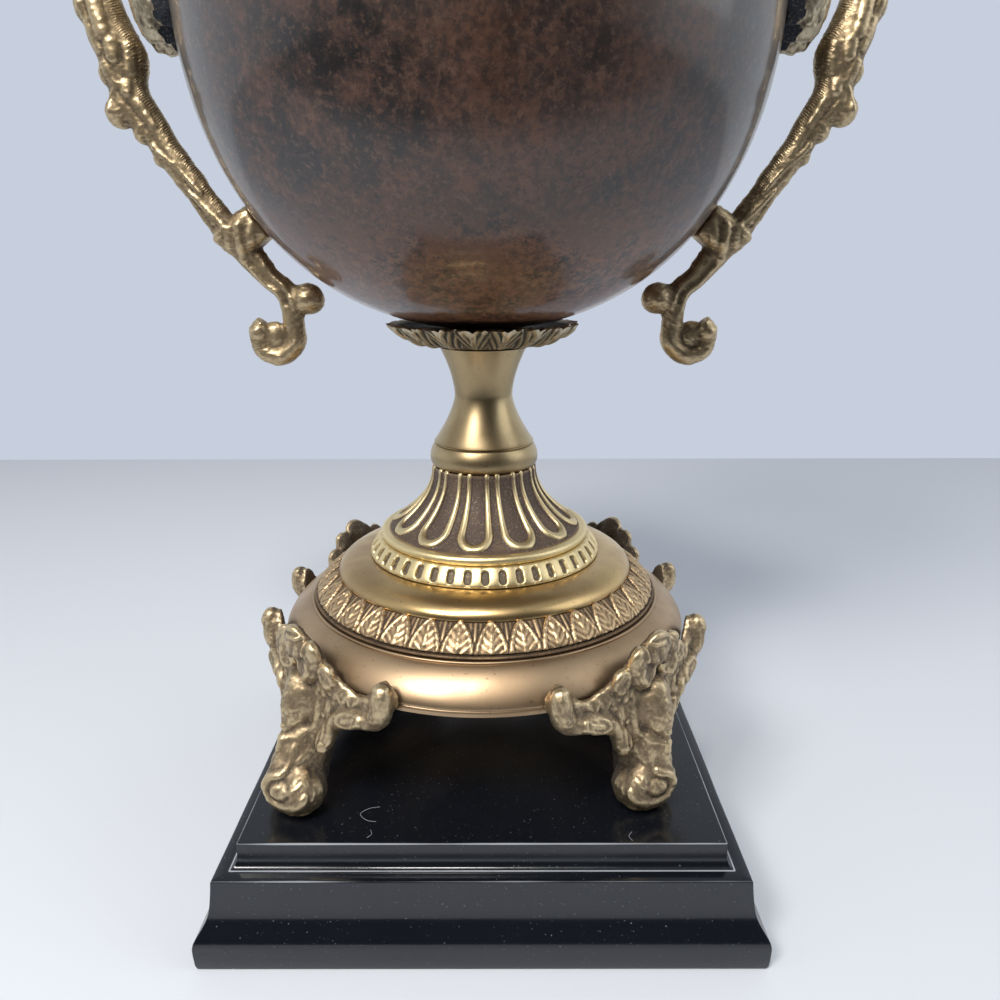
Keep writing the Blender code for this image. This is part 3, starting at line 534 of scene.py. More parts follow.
def mark_hollows(obj, fine_rounds=4, broad_rounds=40, fine_depth=0.12, broad_depth=0.7):
    """Store how deep each point lies in a fine and in a broad hollow, from 0 on a ridge to 1."""
    mesh = obj.data
    points, normals, ends = read_points(mesh), read_normals(mesh), edge_ends(mesh)
    fine = relax(points, ends, fine_rounds)
    broad = relax(fine, ends, broad_rounds)
    for name, smoothed, depth in (("fine_hollow", fine, fine_depth), ("broad_hollow", broad, broad_depth)):
        lift = np.einsum("ij,ij->i", normals, smoothed - points)
        store(obj, name, np.clip(0.5 + 0.5 * lift / depth, 0.0, 1.0))


def mark_relief(obj, low_relief, high_relief):
    """Store the hollows of a carved ring; a broad one is what lies low in its relief."""
    relief, points = read_values(obj, "relief"), read_points(obj.data)
    fine = relax(points, edge_ends(obj.data), 4)
    lift = np.einsum("ij,ij->i", read_normals(obj.data), fine - points)
    store(obj, "fine_hollow", np.clip(0.5 + 0.5 * lift / 0.10, 0.0, 1.0))
    store(obj, "broad_hollow", np.clip((high_relief - relief) / (high_relief - low_relief), 0.0, 1.0))


SHADE_DEPTH = 1.4


def darken(obj, shade):
    """Where shade is 1, a casting gets darker than its deepest hollow: painted shade, such as under a mount
    or on the inner side of a foot.
    """
    for name in ("fine_hollow", "broad_hollow"):
        store(obj, name, np.maximum(read_values(obj, name), SHADE_DEPTH * shade))


WAVES = 14
WAVE_SUM = 3.7


def wobble(points, size, seed):
    """A smooth random value for each point, from about -1 to 1, with lumps of a size in mm."""
    rng = np.random.default_rng(seed)
    total = np.zeros(len(points))
    for _ in range(WAVES):
        way = rng.normal(size=3)
        way *= (2.0 * pi / size) * rng.uniform(0.6, 1.5) / np.linalg.norm(way)
        total += np.sin(points @ way + rng.uniform(0.0, 2.0 * pi))
    return total / WAVE_SUM


def melt(name, lumps, voxel, rounds=2, rough=((6.0, 0.15), (1.8, 0.06)), seed=1):
    """Join lumps into one cast skin, ease it, and give it the unevenness of a sand casting."""
    points, faces, offset = [], [], 0
    for lump_points, lump_faces in lumps:
        points.append(lump_points)
        faces += [tuple(i + offset for i in face) for face in lump_faces]
        offset += len(lump_points)
    source = new_object(name + "_clay", np.vstack(points), faces)
    remesh = source.modifiers.new("voxels", "REMESH")
    remesh.mode = "VOXEL"
    remesh.voxel_size = voxel * MM
    mesh = settle(source)
    bpy.data.objects.remove(source)
    mesh.name = name
    eased = relax(read_points(mesh), edge_ends(mesh), rounds)
    write_points(mesh, eased)
    normals = read_normals(mesh)
    for k, (size, height) in enumerate(rough):
        eased = eased + normals * (height * wobble(eased, size, seed + k))[:, None]
    write_points(mesh, eased)
    mesh.shade_smooth()
    obj = put_in_scene(name, mesh)
    mark_hollows(obj)
    return obj


def thin(obj, share):
    """Keep a share of the triangles of a casting, most of them where its skin bends."""
    fewer = obj.modifiers.new("fewer", "DECIMATE")
    fewer.ratio = share
    mesh = settle(obj)
    obj.modifiers.clear()
    mesh.name = obj.data.name
    mesh.shade_smooth()
    obj.data = mesh


def fit(obj, material, slot, *nodes):
    """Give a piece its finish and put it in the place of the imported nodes."""
    obj.data.materials.clear()
    obj.data.materials.append(material)
    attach(obj, "root")
    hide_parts(*nodes)
    print(obj.name, len(obj.data.polygons), "faces")


print("melting ready")

# %% [markdown]
# ## Finishes
#
# Four finishes cover the urn: black stone, satin spun brass, cast brass with patina, and mottled
# glaze. Each is a Principled shader. The patterns that several finishes share, such as patina in
# the hollows or fine handling marks, are node groups that give plain colours, masks and heights.

# %% Shared patterns
def make_patina_group():
    """Worn ridges and dark hollows of a casting, from its stored depths."""
    tree, start, end = make_group(
        "casting_patina",
        [("Ridge Colour", "NodeSocketColor", (0.60, 0.46, 0.26, 1.0)),
         ("Middle Colour", "NodeSocketColor", (0.30, 0.21, 0.115, 1.0)),
         ("Hollow Colour", "NodeSocketColor", (0.035, 0.024, 0.014, 1.0))],
        [("Colour", "NodeSocketColor"), ("Roughness", "NodeSocketFloat"), ("Metallic", "NodeSocketFloat"),
         ("Height", "NodeSocketFloat")])
    fine = attribute(tree, "fine_hollow")
    broad = attribute(tree, "broad_hollow")
    cloud = noise(tree, 90.0, 5.0, 0.6)
    grain = noise(tree, 1100.0, 3.0, 0.6)
    depth = calculate(tree, "ADD", times(tree, fine, 0.5), times(tree, broad, 0.5))
    for value, share in ((cloud, 0.5), (grain, 0.25)):
        depth = calculate(tree, "ADD", depth, times(tree, calculate(tree, "SUBTRACT", value, 0.5), share))
    ridge, middle, hollow = (start.outputs[part + " Colour"] for part in ("Ridge", "Middle", "Hollow"))
    colour = blend(tree, ramp(tree, depth, 0.30, 0.52), ridge, middle)
    colour = blend(tree, ramp(tree, depth, 0.48, 0.78), colour, hollow)
    pitted = noise(tree, 1500.0, 4.0, 0.75)
    colour = blend(tree, ramp(tree, pitted, 0.54, 0.68, 0.0, 0.38), colour, ridge)
    colour = blend(tree, ramp(tree, pitted, 0.44, 0.32, 0.0, 0.45), colour, hollow)
    tree.links.new(colour, end.inputs["Colour"])
    tree.links.new(ramp(tree, depth, 0.3, 0.75, 0.41, 0.66), end.inputs["Roughness"])
    tree.links.new(ramp(tree, depth, 0.45, 0.8, 1.0, 0.45), end.inputs["Metallic"])
    tree.links.new(pitted, end.inputs["Height"])
    return tree


def make_handling_group():
    """Faint clouds, turning marks and specks of a polished piece."""
    tree, start, end = make_group("handling_marks", [],
                                  [("Cloud", "NodeSocketFloat"), ("Marks", "NodeSocketFloat"),
                                   ("Specks", "NodeSocketFloat")])
    split = add(tree, "ShaderNodeSeparateXYZ", {"Vector": place_on(tree)})
    flat = add(tree, "ShaderNodeCombineXYZ", {"X": split.outputs["X"], "Y": split.outputs["Y"]})
    radius = add(tree, "ShaderNodeVectorMath", {0: flat.outputs["Vector"]}, operation="LENGTH")
    rings = add(tree, "ShaderNodeCombineXYZ", {"X": radius.outputs["Value"], "Y": split.outputs["Z"]})
    tree.links.new(noise(tree, 35.0, 4.0, 0.55), end.inputs["Cloud"])
    tree.links.new(noise(tree, 2600.0, 2.0, 0.5, rings.outputs["Vector"]), end.inputs["Marks"])
    tree.links.new(ramp(tree, noise(tree, 900.0, 2.0, 0.5), 0.66, 0.74), end.inputs["Specks"])
    return tree


patina_group = make_patina_group()
handling_group = make_handling_group()
print("patterns made:", patina_group.name, handling_group.name)

# %% [markdown]
# ### Cast brass
#
# The feet, leaf rings, handles and mounts are castings. Hands and cloth keep their ridges bright, and
# dust and wax stay in the hollows. This could be painted on with Texture Paint, but that needs an
# image. The two stored depths darken the hollows of every casting in the same way, with no picture.

# %% Cast brass
def bump(tree, shader, height, distance, strength=1.0):
    """Fine relief from a height, in millimetres."""
    node = add(tree, "ShaderNodeBump", {"Height": height})
    node.inputs["Distance"].default_value = distance * MM
    node.inputs["Strength"].default_value = strength
    tree.links.new(node.outputs["Normal"], shader.inputs["Normal"])


def make_cast_brass(name, ridge, middle, hollow):
    """Cast brass: bright where hands reach, brown and matt in the hollows."""
    material, tree, shader = finish(name)
    patina = add(tree, "ShaderNodeGroup", node_tree=patina_group)
    for label, colour in (("Ridge Colour", ridge), ("Middle Colour", middle), ("Hollow Colour", hollow)):
        patina.inputs[label].default_value = (*colour, 1.0)
    for given, taken in (("Colour", "Base Color"), ("Roughness", "Roughness"), ("Metallic", "Metallic")):
        tree.links.new(patina.outputs[given], shader.inputs[taken])
    hatch = calculate(tree, "SINE", times(tree, attribute(tree, "along"), 8.0))
    broken = ramp(tree, noise(tree, 500.0, 3.0, 0.7), 0.4, 0.6, 0.2, 1.5)
    hatch = times(tree, hatch, times(tree, attribute(tree, "hatched"), broken))
    bump(tree, shader, calculate(tree, "ADD", patina.outputs["Height"], hatch), 0.07, 0.7)
    return material


CAST_BRASS = {
    "feet": ((0.62, 0.49, 0.30), (0.29, 0.22, 0.14), (0.075, 0.056, 0.038)),
    "leaves": ((0.55, 0.40, 0.23), (0.30, 0.20, 0.115), (0.060, 0.040, 0.025)),
    "trumpet": ((0.68, 0.55, 0.31), (0.25, 0.17, 0.115), (0.085, 0.060, 0.048)),
    "slots": ((0.78, 0.63, 0.34), (0.50, 0.38, 0.20), (0.120, 0.095, 0.070)),
    "cup": ((0.54, 0.47, 0.34), (0.29, 0.25, 0.17), (0.045, 0.040, 0.030)),
    "handles": ((0.56, 0.44, 0.27), (0.31, 0.235, 0.14), (0.080, 0.060, 0.038)),
    # The hollow tone of the mounts is also the colour of their painted shade near the body.
    "mounts": ((0.50, 0.43, 0.31), (0.28, 0.235, 0.165), (0.020, 0.024, 0.034))}
cast_brass = {name: make_cast_brass("cast_brass_" + name, *tones) for name, tones in CAST_BRASS.items()}
print(len(cast_brass), "cast brasses made")

# %% [markdown]
# ### Turned brass
#
# The dish, cushion and stem are smooth and polished, so their tone hardly changes. One plain metal
# would look new. Soft clouds in the roughness and faint rings in the bump show years of handling,
# and they need no more geometry.

# %% Turned brass
def make_turned_brass(name, colour, dull_colour, roughness, rough_spread):
    """Spun or turned brass with clouded handling marks and faint rings."""
    material, tree, shader = finish(name, metallic=1.0)
    marks = add(tree, "ShaderNodeGroup", node_tree=handling_group)
    tone = blend(tree, ramp(tree, marks.outputs["Cloud"], 0.35, 0.7), colour, dull_colour)
    tone = blend(tree, times(tree, marks.outputs["Specks"], 0.5), tone, (0.08, 0.05, 0.03))
    tree.links.new(tone, shader.inputs["Base Color"])
    tree.links.new(ramp(tree, marks.outputs["Cloud"], 0.3, 0.7, roughness, roughness + rough_spread),
                   shader.inputs["Roughness"])
    bump(tree, shader, marks.outputs["Marks"], 0.012, 0.5)
    return material


dish_brass = make_turned_brass("spun_brass_dish", (0.47, 0.335, 0.205), (0.36, 0.25, 0.15), 0.36, 0.12)
bright_brass = make_turned_brass("polished_brass", (0.57, 0.40, 0.185), (0.40, 0.27, 0.135), 0.27, 0.12)
stem_brass = make_turned_brass("turned_brass_stem", (0.44, 0.34, 0.19), (0.33, 0.25, 0.14), 0.27, 0.12)
print("turned brass made")

# %% [markdown]
# ### Black stone
#
# The plinth is nearly black on top, where it mirrors the brass, and greyer on its faces, with dust and
# a painted sheen set by which way each face looks. Its arrises are pale with wear and a painted
# highlight, which also runs along the foot of the cove. A Bevel node could find the edges, but the mesh
# already knows where its arrises are, so it stores the wear and painted highlight of each point, and
# the pattern keeps its place.

# %% Black stone
STONE_TOP = (0.0048, 0.0062, 0.0092)
STONE_SIDE_SHEEN = (0.015, 0.017, 0.0215)
STONE_DUSTY_SIDE_SHEEN = (0.024, 0.027, 0.034)
STONE_PALE_AND_GLINT = (0.36, 0.38, 0.41)
STONE_CHIP = (0.30, 0.31, 0.32)
STONE_DUST = (0.25, 0.27, 0.30)


def make_black_stone():
    """Dark stone: polished on top, greyer on its faces with dust and a painted sheen, and pale arrises of
    wear and painted highlight.
    """
    material, tree, shader = finish("black_stone", specular_ior_level=0.5)
    facing = add(tree, "ShaderNodeNewGeometry")
    up = part_of(tree, facing.outputs["Normal"], "Z")
    cloud = noise(tree, 25.0, 5.0, 0.6)
    # Painted sheen: the faces are paler than the top because of the way they look, with dust clouds over
    # them; the top stays nearly black.
    face = blend(tree, cloud, STONE_SIDE_SHEEN, STONE_DUSTY_SIDE_SHEEN)
    tone = blend(tree, ramp(tree, up, 0.05, 0.5), face, STONE_TOP)
    pale_marks_and_glint = calculate(tree, "ADD", attribute(tree, "pale_marks_and_glint"), times(tree, cloud, 0.3))
    # Painted highlight and wear: pale along the arrises and the foot of the cove, and on the dust hairs.
    tone = blend(tree, ramp(tree, pale_marks_and_glint, 0.45, 0.95), tone, STONE_PALE_AND_GLINT)
    foot = ramp(tree, part_of(tree, place_on(tree), "Z"), 0.0050, 0.0025)
    chips = times(tree, ramp(tree, noise(tree, 420.0, 3.0, 0.6), 0.62, 0.68), foot)
    chips = times(tree, chips, ramp(tree, noise(tree, 16.0, 1.0, 0.5), 0.52, 0.60))
    tone = blend(tree, chips, tone, STONE_CHIP)
    dust = ramp(tree, noise(tree, 1500.0, 1.0, 0.5), 0.735, 0.77)
    tone = blend(tree, times(tree, dust, 0.45), tone, STONE_DUST)
    tree.links.new(tone, shader.inputs["Base Color"])
    tree.links.new(ramp(tree, cloud, 0.3, 0.7, 0.13, 0.22), shader.inputs["Roughness"])
    bump(tree, shader, noise(tree, 300.0, 4.0, 0.6), 0.03, 0.3)
    return material


black_stone = make_black_stone()
print("stone made")

# %% [markdown]
# ### Mottled glaze
#
# The body and the lid have a brown glaze like tortoiseshell. Upward from the belly it is darkened in
# clouds, a painted reflection of the dark room, and rust-brown patches near the foot are a painted
# reflection of the brass base. A photograph could be wrapped round it, but a picture would have to go
# with the file.
# Noise in three sizes laid over each other gives the mottling, and a thin clear coat the shine.

# %% Mottled glaze
GLAZE_BLACK = (0.0075, 0.0055, 0.0055)
GLAZE_BROWN = (0.088, 0.040, 0.024)
GLAZE_RUST = (0.150, 0.062, 0.030)
GLAZE_GRAIN = (0.013, 0.009, 0.008)
GLAZE_SPECKS = (0.17, 0.095, 0.060)
GLAZE_DARK_REFLECTION = (0.010, 0.0075, 0.007)
GLAZE_BRASS_REFLECTION = (0.21, 0.090, 0.042)


def make_glaze():
    """Satin brown glaze, mottled from near black to rust, with fine dark and pale grain."""
    material, tree, shader = finish("mottled_glaze", coat_weight=0.60, coat_roughness=0.12)
    large = noise(tree, 18.0, 5.0, 0.65, distortion=0.6)
    middle = noise(tree, 95.0, 8.0, 0.78)
    small = noise(tree, 420.0, 6.0, 0.8)
    tone = blend(tree, ramp(tree, middle, 0.42, 0.60), GLAZE_BLACK, GLAZE_BROWN)
    height = calculate(tree, "ADD", part_of(tree, place_on(tree), "Z"), times(tree, large, 0.06))
    specks = noise(tree, 560.0, 5.0, 0.75)
    # The last layer is a painted reflection: upward from the belly the glaze is darkened, standing for the
    # dark room mirrored there.
    layers = ((large, 0.45, 0.60, 0.65, GLAZE_RUST), (small, 0.45, 0.58, 0.66, GLAZE_GRAIN),
              (specks, 0.50, 0.66, 0.50, GLAZE_SPECKS), (height, 0.255, 0.315, 0.50, GLAZE_DARK_REFLECTION))
    for value, low_end, high_end, share, colour in layers:
        tone = blend(tree, ramp(tree, value, low_end, high_end, 0.0, share), tone, colour)
    # Painted reflection of the brass base: rust-brown patches low on the body, below the belly.
    brass_reflection = times(tree, ramp(tree, height, 0.262, 0.240, 0.0, 0.80), ramp(tree, small, 0.46, 0.56))
    tone = blend(tree, brass_reflection, tone, GLAZE_BRASS_REFLECTION)
    tree.links.new(tone, shader.inputs["Base Color"])
    tree.links.new(ramp(tree, middle, 0.3, 0.7, 0.36, 0.54), shader.inputs["Roughness"])
    bump(tree, shader, small, 0.04, 0.35)
    return material


glaze = make_glaze()
print("glaze made")

# %% [markdown]
# ## The plinth
#
# A stepped block: a flat slab on a block whose side sweeps out into a fascia. Its outline is carried
# round a square with close points at the corners, because the worn arrises and small chips are
# what makes black stone look like stone. A bevel would round every edge alike.

# %% Plinth
PLINTH_HALF = reach("plinth")
PLINTH_TOP = high("plinth")
FASCIA = 7.5
BLOCK_HALF = 84.2
BLOCK_TOP = 28.8
OGEE = (
    (90.0, 5.0), (90.05, 7.5), (89.85, 9.2), (89.3, 10.6), (88.4, 12.0), (87.4, 13.5), (86.5, 15.0),
    (85.8, 16.6), (85.3, 18.6), (84.9, 21.4), (84.5, 25.0), (84.25, 28.0))
SLAB_HALF = 77.5
COVE = 2.2
ARRIS = 0.5
CORNER = 0.7
CHIPS = ((0.765, 0, 1.1), (0.29, 1, 1.0), (0.13, 2, 1.2), (0.335, 2, 1.2), (0.62, 1, 1.1))
FIBRES = (((-34.7, -59.6), (-38.0, -60.4), (-40.6, -63.2), (-38.0, -66.3), (-34.9, -67.0)),
          ((-36.0, -71.0), (-35.4, -73.0), (-36.6, -74.6)),
          ((48.0, -72.0), (46.8, -74.0), (47.6, -76.0)))
# Lines of pale wear and painted highlight: the two top arrises and the foot of the cove, where the edges
# catch the light.
WEAR_AND_GLINT_LINES = ((BLOCK_TOP, BLOCK_HALF, 0.62, 0.5), (PLINTH_TOP, SLAB_HALF, 0.95, 0.5),
              (BLOCK_TOP, SLAB_HALF + COVE, 0.90, 0.32))


def worn_arris(half, top):
    """A top edge, worn round."""
    return [(half, top - ARRIS), (half - 0.15, top - 0.15), (half - ARRIS, top)]


def plinth_outline():
    """Half-width and height up the side of the plinth, with each arris worn round."""
    line = [(0.0, 0.0), (88.6, 0.0), (89.4, 0.3), (89.8, 1.6)]
    line += [tuple(place) for place in smooth_path(OGEE, 45)]
    line += worn_arris(BLOCK_HALF, BLOCK_TOP)
    line += [(SLAB_HALF + COVE + 0.9, BLOCK_TOP), (SLAB_HALF + COVE + 0.3, BLOCK_TOP)]
    for i in range(7):
        turn = radians(15.0 * i)
        line.append((SLAB_HALF + COVE * (1.0 - sin(turn)), BLOCK_TOP + 1.6 * COVE * (1.0 - cos(turn))))
    line.append((SLAB_HALF, PLINTH_TOP - ARRIS - 0.3))
    line += worn_arris(SLAB_HALF, PLINTH_TOP)
    line += [(SLAB_HALF - ARRIS - 0.4, PLINTH_TOP), (0.0, PLINTH_TOP)]
    return resample(line, 3.0)


def fibres():
    """A few fine hairs of dust that lie on the slab."""
    return [rope([(x, y, PLINTH_TOP + 0.04) for x, y in path], 0.065, sides=6, steps=6) for path in FIBRES]


def build_plinth():
    """Carry the outline round a square, chip its arrises and mark its wear and its painted edge highlights.
    """
    outline = np.asarray(plinth_outline())
    along = np.concatenate([[0.0, 0.0015, 0.004], np.linspace(0.01, 0.99, 65), [0.996, 0.9985]])
    ways = ((1, -1, 0, 1), (1, 1, -1, 0), (-1, 1, 0, -1), (-1, -1, 1, 0))
    columns = np.array([(x0 + 2 * dx * s, y0 + 2 * dy * s, s) for x0, y0, dx, dy in ways for s in along])
    share = np.arange(len(columns)) / len(columns)
    half = outline[:, 0][:, None]
    x = half * columns[:, 0]
    y = half * columns[:, 1]
    z = np.repeat(outline[:, 1][:, None], len(columns), axis=1)
    arrises = (FASCIA, BLOCK_TOP, PLINTH_TOP)
    arris_halves = (PLINTH_HALF, BLOCK_HALF, SLAB_HALF)
    patches = wobble(np.stack([x, y, z], -1).reshape(-1, 3), 40.0, 3).reshape(x.shape)
    pale_marks_and_glint = np.zeros_like(x)
    inset = np.repeat(np.where(columns[:, 2] == 0.0, 0.3 * CORNER, 0.0)[None, :], len(outline), axis=0)
    # Painted highlight and wear: pale bands along the arrises and along the foot of the cove; the dust hairs
    # below are pale too.
    for height, width, line_strength, spread in WEAR_AND_GLINT_LINES:
        close = np.exp(-(((z - height) / 0.40) ** 2 + ((half - width) / spread) ** 2))
        pale_marks_and_glint = np.maximum(pale_marks_and_glint, close * (line_strength + 0.25 * patches))
    for place, arris, size in CHIPS:
        off = ((share - place + 0.5) % 1.0 - 0.5) * 8.0 * arris_halves[arris]
        near = np.exp(-((off[None, :] / size) ** 2 + ((z - arrises[arris]) / (0.6 * size)) ** 2))
        near = near * np.exp(-((half - arris_halves[arris]) / size) ** 2)
        inset = inset + 0.4 * near
        z = z - 0.25 * near
    squeeze = 1.0 - inset / np.maximum(half, 1.0)
    points = [np.stack([x * squeeze, y * squeeze, z], axis=-1).reshape(-1, 3)]
    faces = grid_faces(len(outline), len(columns), False)
    pale_marks_and_glint = [np.clip(pale_marks_and_glint, 0.0, 1.0).ravel()]
    for hair_points, hair_faces in fibres():
        offset = sum(len(part) for part in points)
        points.append(hair_points)
        faces += [tuple(i + offset for i in face) for face in hair_faces]
        pale_marks_and_glint.append(np.full(len(hair_points), 1.0))
    obj = new_object("plinth_stone", np.vstack(points), faces, 30.0)
    store(obj, "pale_marks_and_glint", np.concatenate(pale_marks_and_glint))
    clean(obj)
    return obj


fit(build_plinth(), black_stone, "black_stone", "plinth")

# %% [markdown]
# ## Turned brass
#
# The dish, cushion and stem came off a lathe or a spinning chuck, so each is an outline carried round
# the axis. Blender's Screw modifier does the same; the shared grid function keeps all pieces alike.

# %% Base dish
DISH_LOW = low("base_dish")
DISH_HIGH = high("base_dish")
DISH_EDGE = reach("base_dish")
DISH_SEAT = 64.4
DISH_WALL = 2.0
DISH_BORE = 30.0
LIP = 2.6
BEAD = 0.55
SIDE_POWER = 1.4


def dish_side():
    """The swelling side of the dish, from its seat down to the lip."""
    start = DISH_SEAT + 1.5 * BEAD
    tall = DISH_HIGH - 0.6 - DISH_LOW - LIP
    return [(start + (DISH_EDGE - start) * (1.0 - share ** SIDE_POWER) ** (1.0 / SIDE_POWER),
             DISH_LOW + LIP + share * tall) for share in np.cos(np.linspace(0.0, 0.5 * pi, 29))]


def build_dish():
    """The spun dish: a bead round its seat, a swelling side and a lip with a cut line."""
    line = [(DISH_BORE, DISH_HIGH), (DISH_SEAT - 0.3, DISH_HIGH)]
    line += arc((DISH_SEAT + 0.5 * BEAD, DISH_HIGH - 0.35), BEAD, 110, -10, 6)
    line += dish_side()
    lip_top = DISH_LOW + LIP
    line += [(DISH_EDGE - 0.05, lip_top - 0.15), (DISH_EDGE - 0.28, lip_top - 0.35),
             (DISH_EDGE - 0.05, lip_top - 0.6), (DISH_EDGE, DISH_LOW + 1.2),
             (DISH_EDGE - 0.1, DISH_LOW + 0.3), (DISH_EDGE - 0.5, DISH_LOW),
             (DISH_EDGE - DISH_WALL, DISH_LOW), (DISH_EDGE - DISH_WALL, lip_top),
             (DISH_SEAT + 4.0, DISH_HIGH - 3.2), (DISH_SEAT - DISH_WALL, DISH_HIGH - DISH_WALL),
             (DISH_BORE, DISH_HIGH - DISH_WALL)]
    return turned("spun_dish", line, 256)


fit(build_dish(), dish_brass, "aged_brass", "base_dish")

# %% Cushion and stem
CUSHION_LOW = low("cushion")
CUSHION_HIGH = high("cushion")
CUSHION_EDGE = reach("cushion")
CUSHION_TOP = 43.4
CUSHION_BORE = 38.6
CUSHION_WALL = 2.4
STEM_LOW = low("stem")
STEM_HIGH = high("stem")
DRUM = 19.7
DRUM_HEIGHT = 8.4
WAIST = 10.4
WAIST_HEIGHT = 25.4


def build_cushion():
    """The polished half-round ring."""
    line = [(CUSHION_BORE, CUSHION_HIGH), (CUSHION_TOP - 0.5, CUSHION_HIGH)]
    radii = (CUSHION_EDGE - CUSHION_TOP, CUSHION_HIGH - CUSHION_LOW)
    line += arc((CUSHION_TOP, CUSHION_LOW), radii, 90, 0, 24)
    line += [(CUSHION_EDGE - CUSHION_WALL, CUSHION_LOW), (CUSHION_TOP, CUSHION_HIGH - CUSHION_WALL),
             (CUSHION_BORE, CUSHION_HIGH - CUSHION_WALL)]
    return turned("cushion_ring", line, 256)


def build_stem():
    """The spool: a drum, a fine cut line, a waist and a flared top."""
    line_height = STEM_LOW + DRUM_HEIGHT
    waist_height = STEM_LOW + WAIST_HEIGHT
    shoulder = DRUM - 1.4
    line = [(0.0, STEM_LOW), (18.3, STEM_LOW), (18.7, STEM_LOW + 0.3)]
    for share in shares(14)[1:]:
        line.append((18.9 + (DRUM - 18.9) * sin(pi * share ** 0.8) - (DRUM - shoulder - 0.8) * share ** 4,
                     STEM_LOW + 0.4 + (DRUM_HEIGHT - 1.0) * share))
    cut = ((-0.15, -0.45), (-0.75, -0.25), (-0.8, 0.0), (-0.35, 0.2), (-0.15, 0.5))
    line += [(shoulder + r, line_height + z) for r, z in cut]
    start = line_height + 0.6
    for share in shares(40)[1:]:
        line.append((WAIST + (shoulder - 0.3 - WAIST) * (1.0 - share) ** 1.5,
                     start + (waist_height - start) * share))
    for share in shares(30)[1:]:
        line.append((WAIST + 5.0 * share ** 1.7, waist_height + (STEM_HIGH - waist_height) * share))
    line.append((0.0, STEM_HIGH))
    return turned("stem_spool", line, 160, smooth_angle=50.0)


fit(build_cushion(), bright_brass, "aged_brass", "cushion")
fit(build_stem(), stem_brass, "aged_brass", "stem")

# %% [markdown]
# ## Cast rings with carving
#
# The leaf band, the fluted cone and the leaf cup repeat one motif round the axis. Each motif is a
# height field: a function gives the height of the surface for a place across the motif, from -1
# to 1, and a place up it, from 0 to 1. Where two forms meet, the higher one wins, so leaves
# overlap as cut ones do. A displacement picture would need an image, and a formula needs none.

# %% Motif tools
def ridge(distance, width):
    """A rounded ridge along a line, 1 on the line and 0 at its width."""
    return np.clip(1.0 - (distance / width) ** 2, 0.0, None) ** 0.5


def tips(columns, count, offset=0.0):
    """Place across each motif, from -1 to 1, and which motif it is, for every column."""
    turn = (np.arange(columns) / columns * count - offset)[None, :]
    nearest = np.round(turn)
    return 2.0 * (turn - nearest), nearest


def carved(name, outline, columns, height_field):
    """Turn an outline and raise it by a height field; rows whose share is -1 stay plain."""
    outline = np.asarray(outline, dtype=float)
    share = outline[:, 2:]
    relief = height_field(np.maximum(share, 0.0), columns) * (share >= 0.0)
    return turned(name, outline[:, :2], columns, relief, 60.0)


def carved_run(start_points, run, end_points):
    """An outline whose middle run is carved; each point carries its share up the run, or -1."""
    line = [(r, z, -1.0) for r, z in start_points]
    line += [(r, z, i / (len(run) - 1.0)) for i, (r, z) in enumerate(run)]
    line += [(r, z, -1.0) for r, z in end_points]
    return line


print("motif tools ready")


# %% Leaf band
LEAVES = 36
BAND_LOW = low("leaf_band")
BAND_HIGH = high("leaf_band")
BAND_FOOT = 64.0
BAND_TOP = 54.8
BAND_OFFSET = 0.3


def leaf_field(share, columns):
    """Pointed leaves with a rim, a midrib and slanting veins, and a second row of tips behind them."""
    across, which = tips(columns, LEAVES, BAND_OFFSET)
    across = across + 0.04 * np.sin(which * 2.3) * share
    fade = np.minimum(ease(share / 0.05), ease((1.0 - share) / 0.05))
    edge = 0.98 * np.clip(1.0 - share ** 2.1, 0.0, 1.0) ** 0.66
    depth_in = edge - np.abs(across)
    inside = ease(depth_in / 0.10 + 0.5)
    swell = 0.55 + 0.35 * np.cos(0.5 * pi * np.clip(across / np.maximum(edge, 0.05), -1.0, 1.0))
    fan = np.abs(across) * 1.5 - share * 2.6 + 0.2 * np.sin(which * 1.9)
    veins = 0.12 * np.sin(2.0 * pi * 1.35 * fan) * ease(depth_in / 0.22)
    midrib = 0.36 * ridge(np.abs(across), 0.10)
    rim = 0.55 * ridge(np.abs(depth_in - 0.12), 0.13)
    front = swell + veins + np.maximum(midrib, rim)
    aside = 1.0 - np.abs(across)
    behind = 0.22 * ease((share - 0.25) / 0.3)
    behind = behind + 0.10 * np.cos(2.0 * pi * (aside * 3.2)) * ease((share - 0.2) / 0.2)
    behind = behind + 0.25 * ridge(aside, 0.12) * ease(share / 0.4)
    return 0.95 * (inside * front + (1.0 - inside) * behind) * fade


def build_leaf_band():
    """The cast ring of upright leaves on a plain fillet."""
    run = [(BAND_TOP - 0.7 + (BAND_FOOT - 1.0 - BAND_TOP) * (1.0 - share ** 1.5),
            BAND_LOW + 1.0 + (BAND_HIGH - BAND_LOW - 1.0) * share) for share in shares(44)]
    start = [(BAND_FOOT - 5.0, BAND_LOW), (BAND_FOOT - 0.3, BAND_LOW)]
    start += arc((BAND_FOOT - 0.4, BAND_LOW + 0.45), 0.45, -60, 90, 6)
    start.append((BAND_FOOT - 1.3, BAND_LOW + 0.85))
    return carved("leaf_ring", carved_run(start, run, [(BAND_TOP - 5.0, BAND_HIGH)]), LEAVES * 23, leaf_field)


leaf_band = build_leaf_band()
mark_relief(leaf_band, 0.0, 1.0)
fit(leaf_band, cast_brass["leaves"], "cast_brass", "leaf_band")

# %% Fluted cone
SLOTS = 44
SLOT_OFFSET = 0.154
TONGUES = 12
CONE_LOW = low("fluted_cone")
CONE_HIGH = high("fluted_cone")
CONE_FOOT = 42.8
SLOT_BAND = 6.0
RING_EDGE = 38.6
RING_HEIGHT = 3.4
FLUTE_FOOT = 35.4
FLUTE_TOP = 18.9
TONGUE_TURN = 5.3


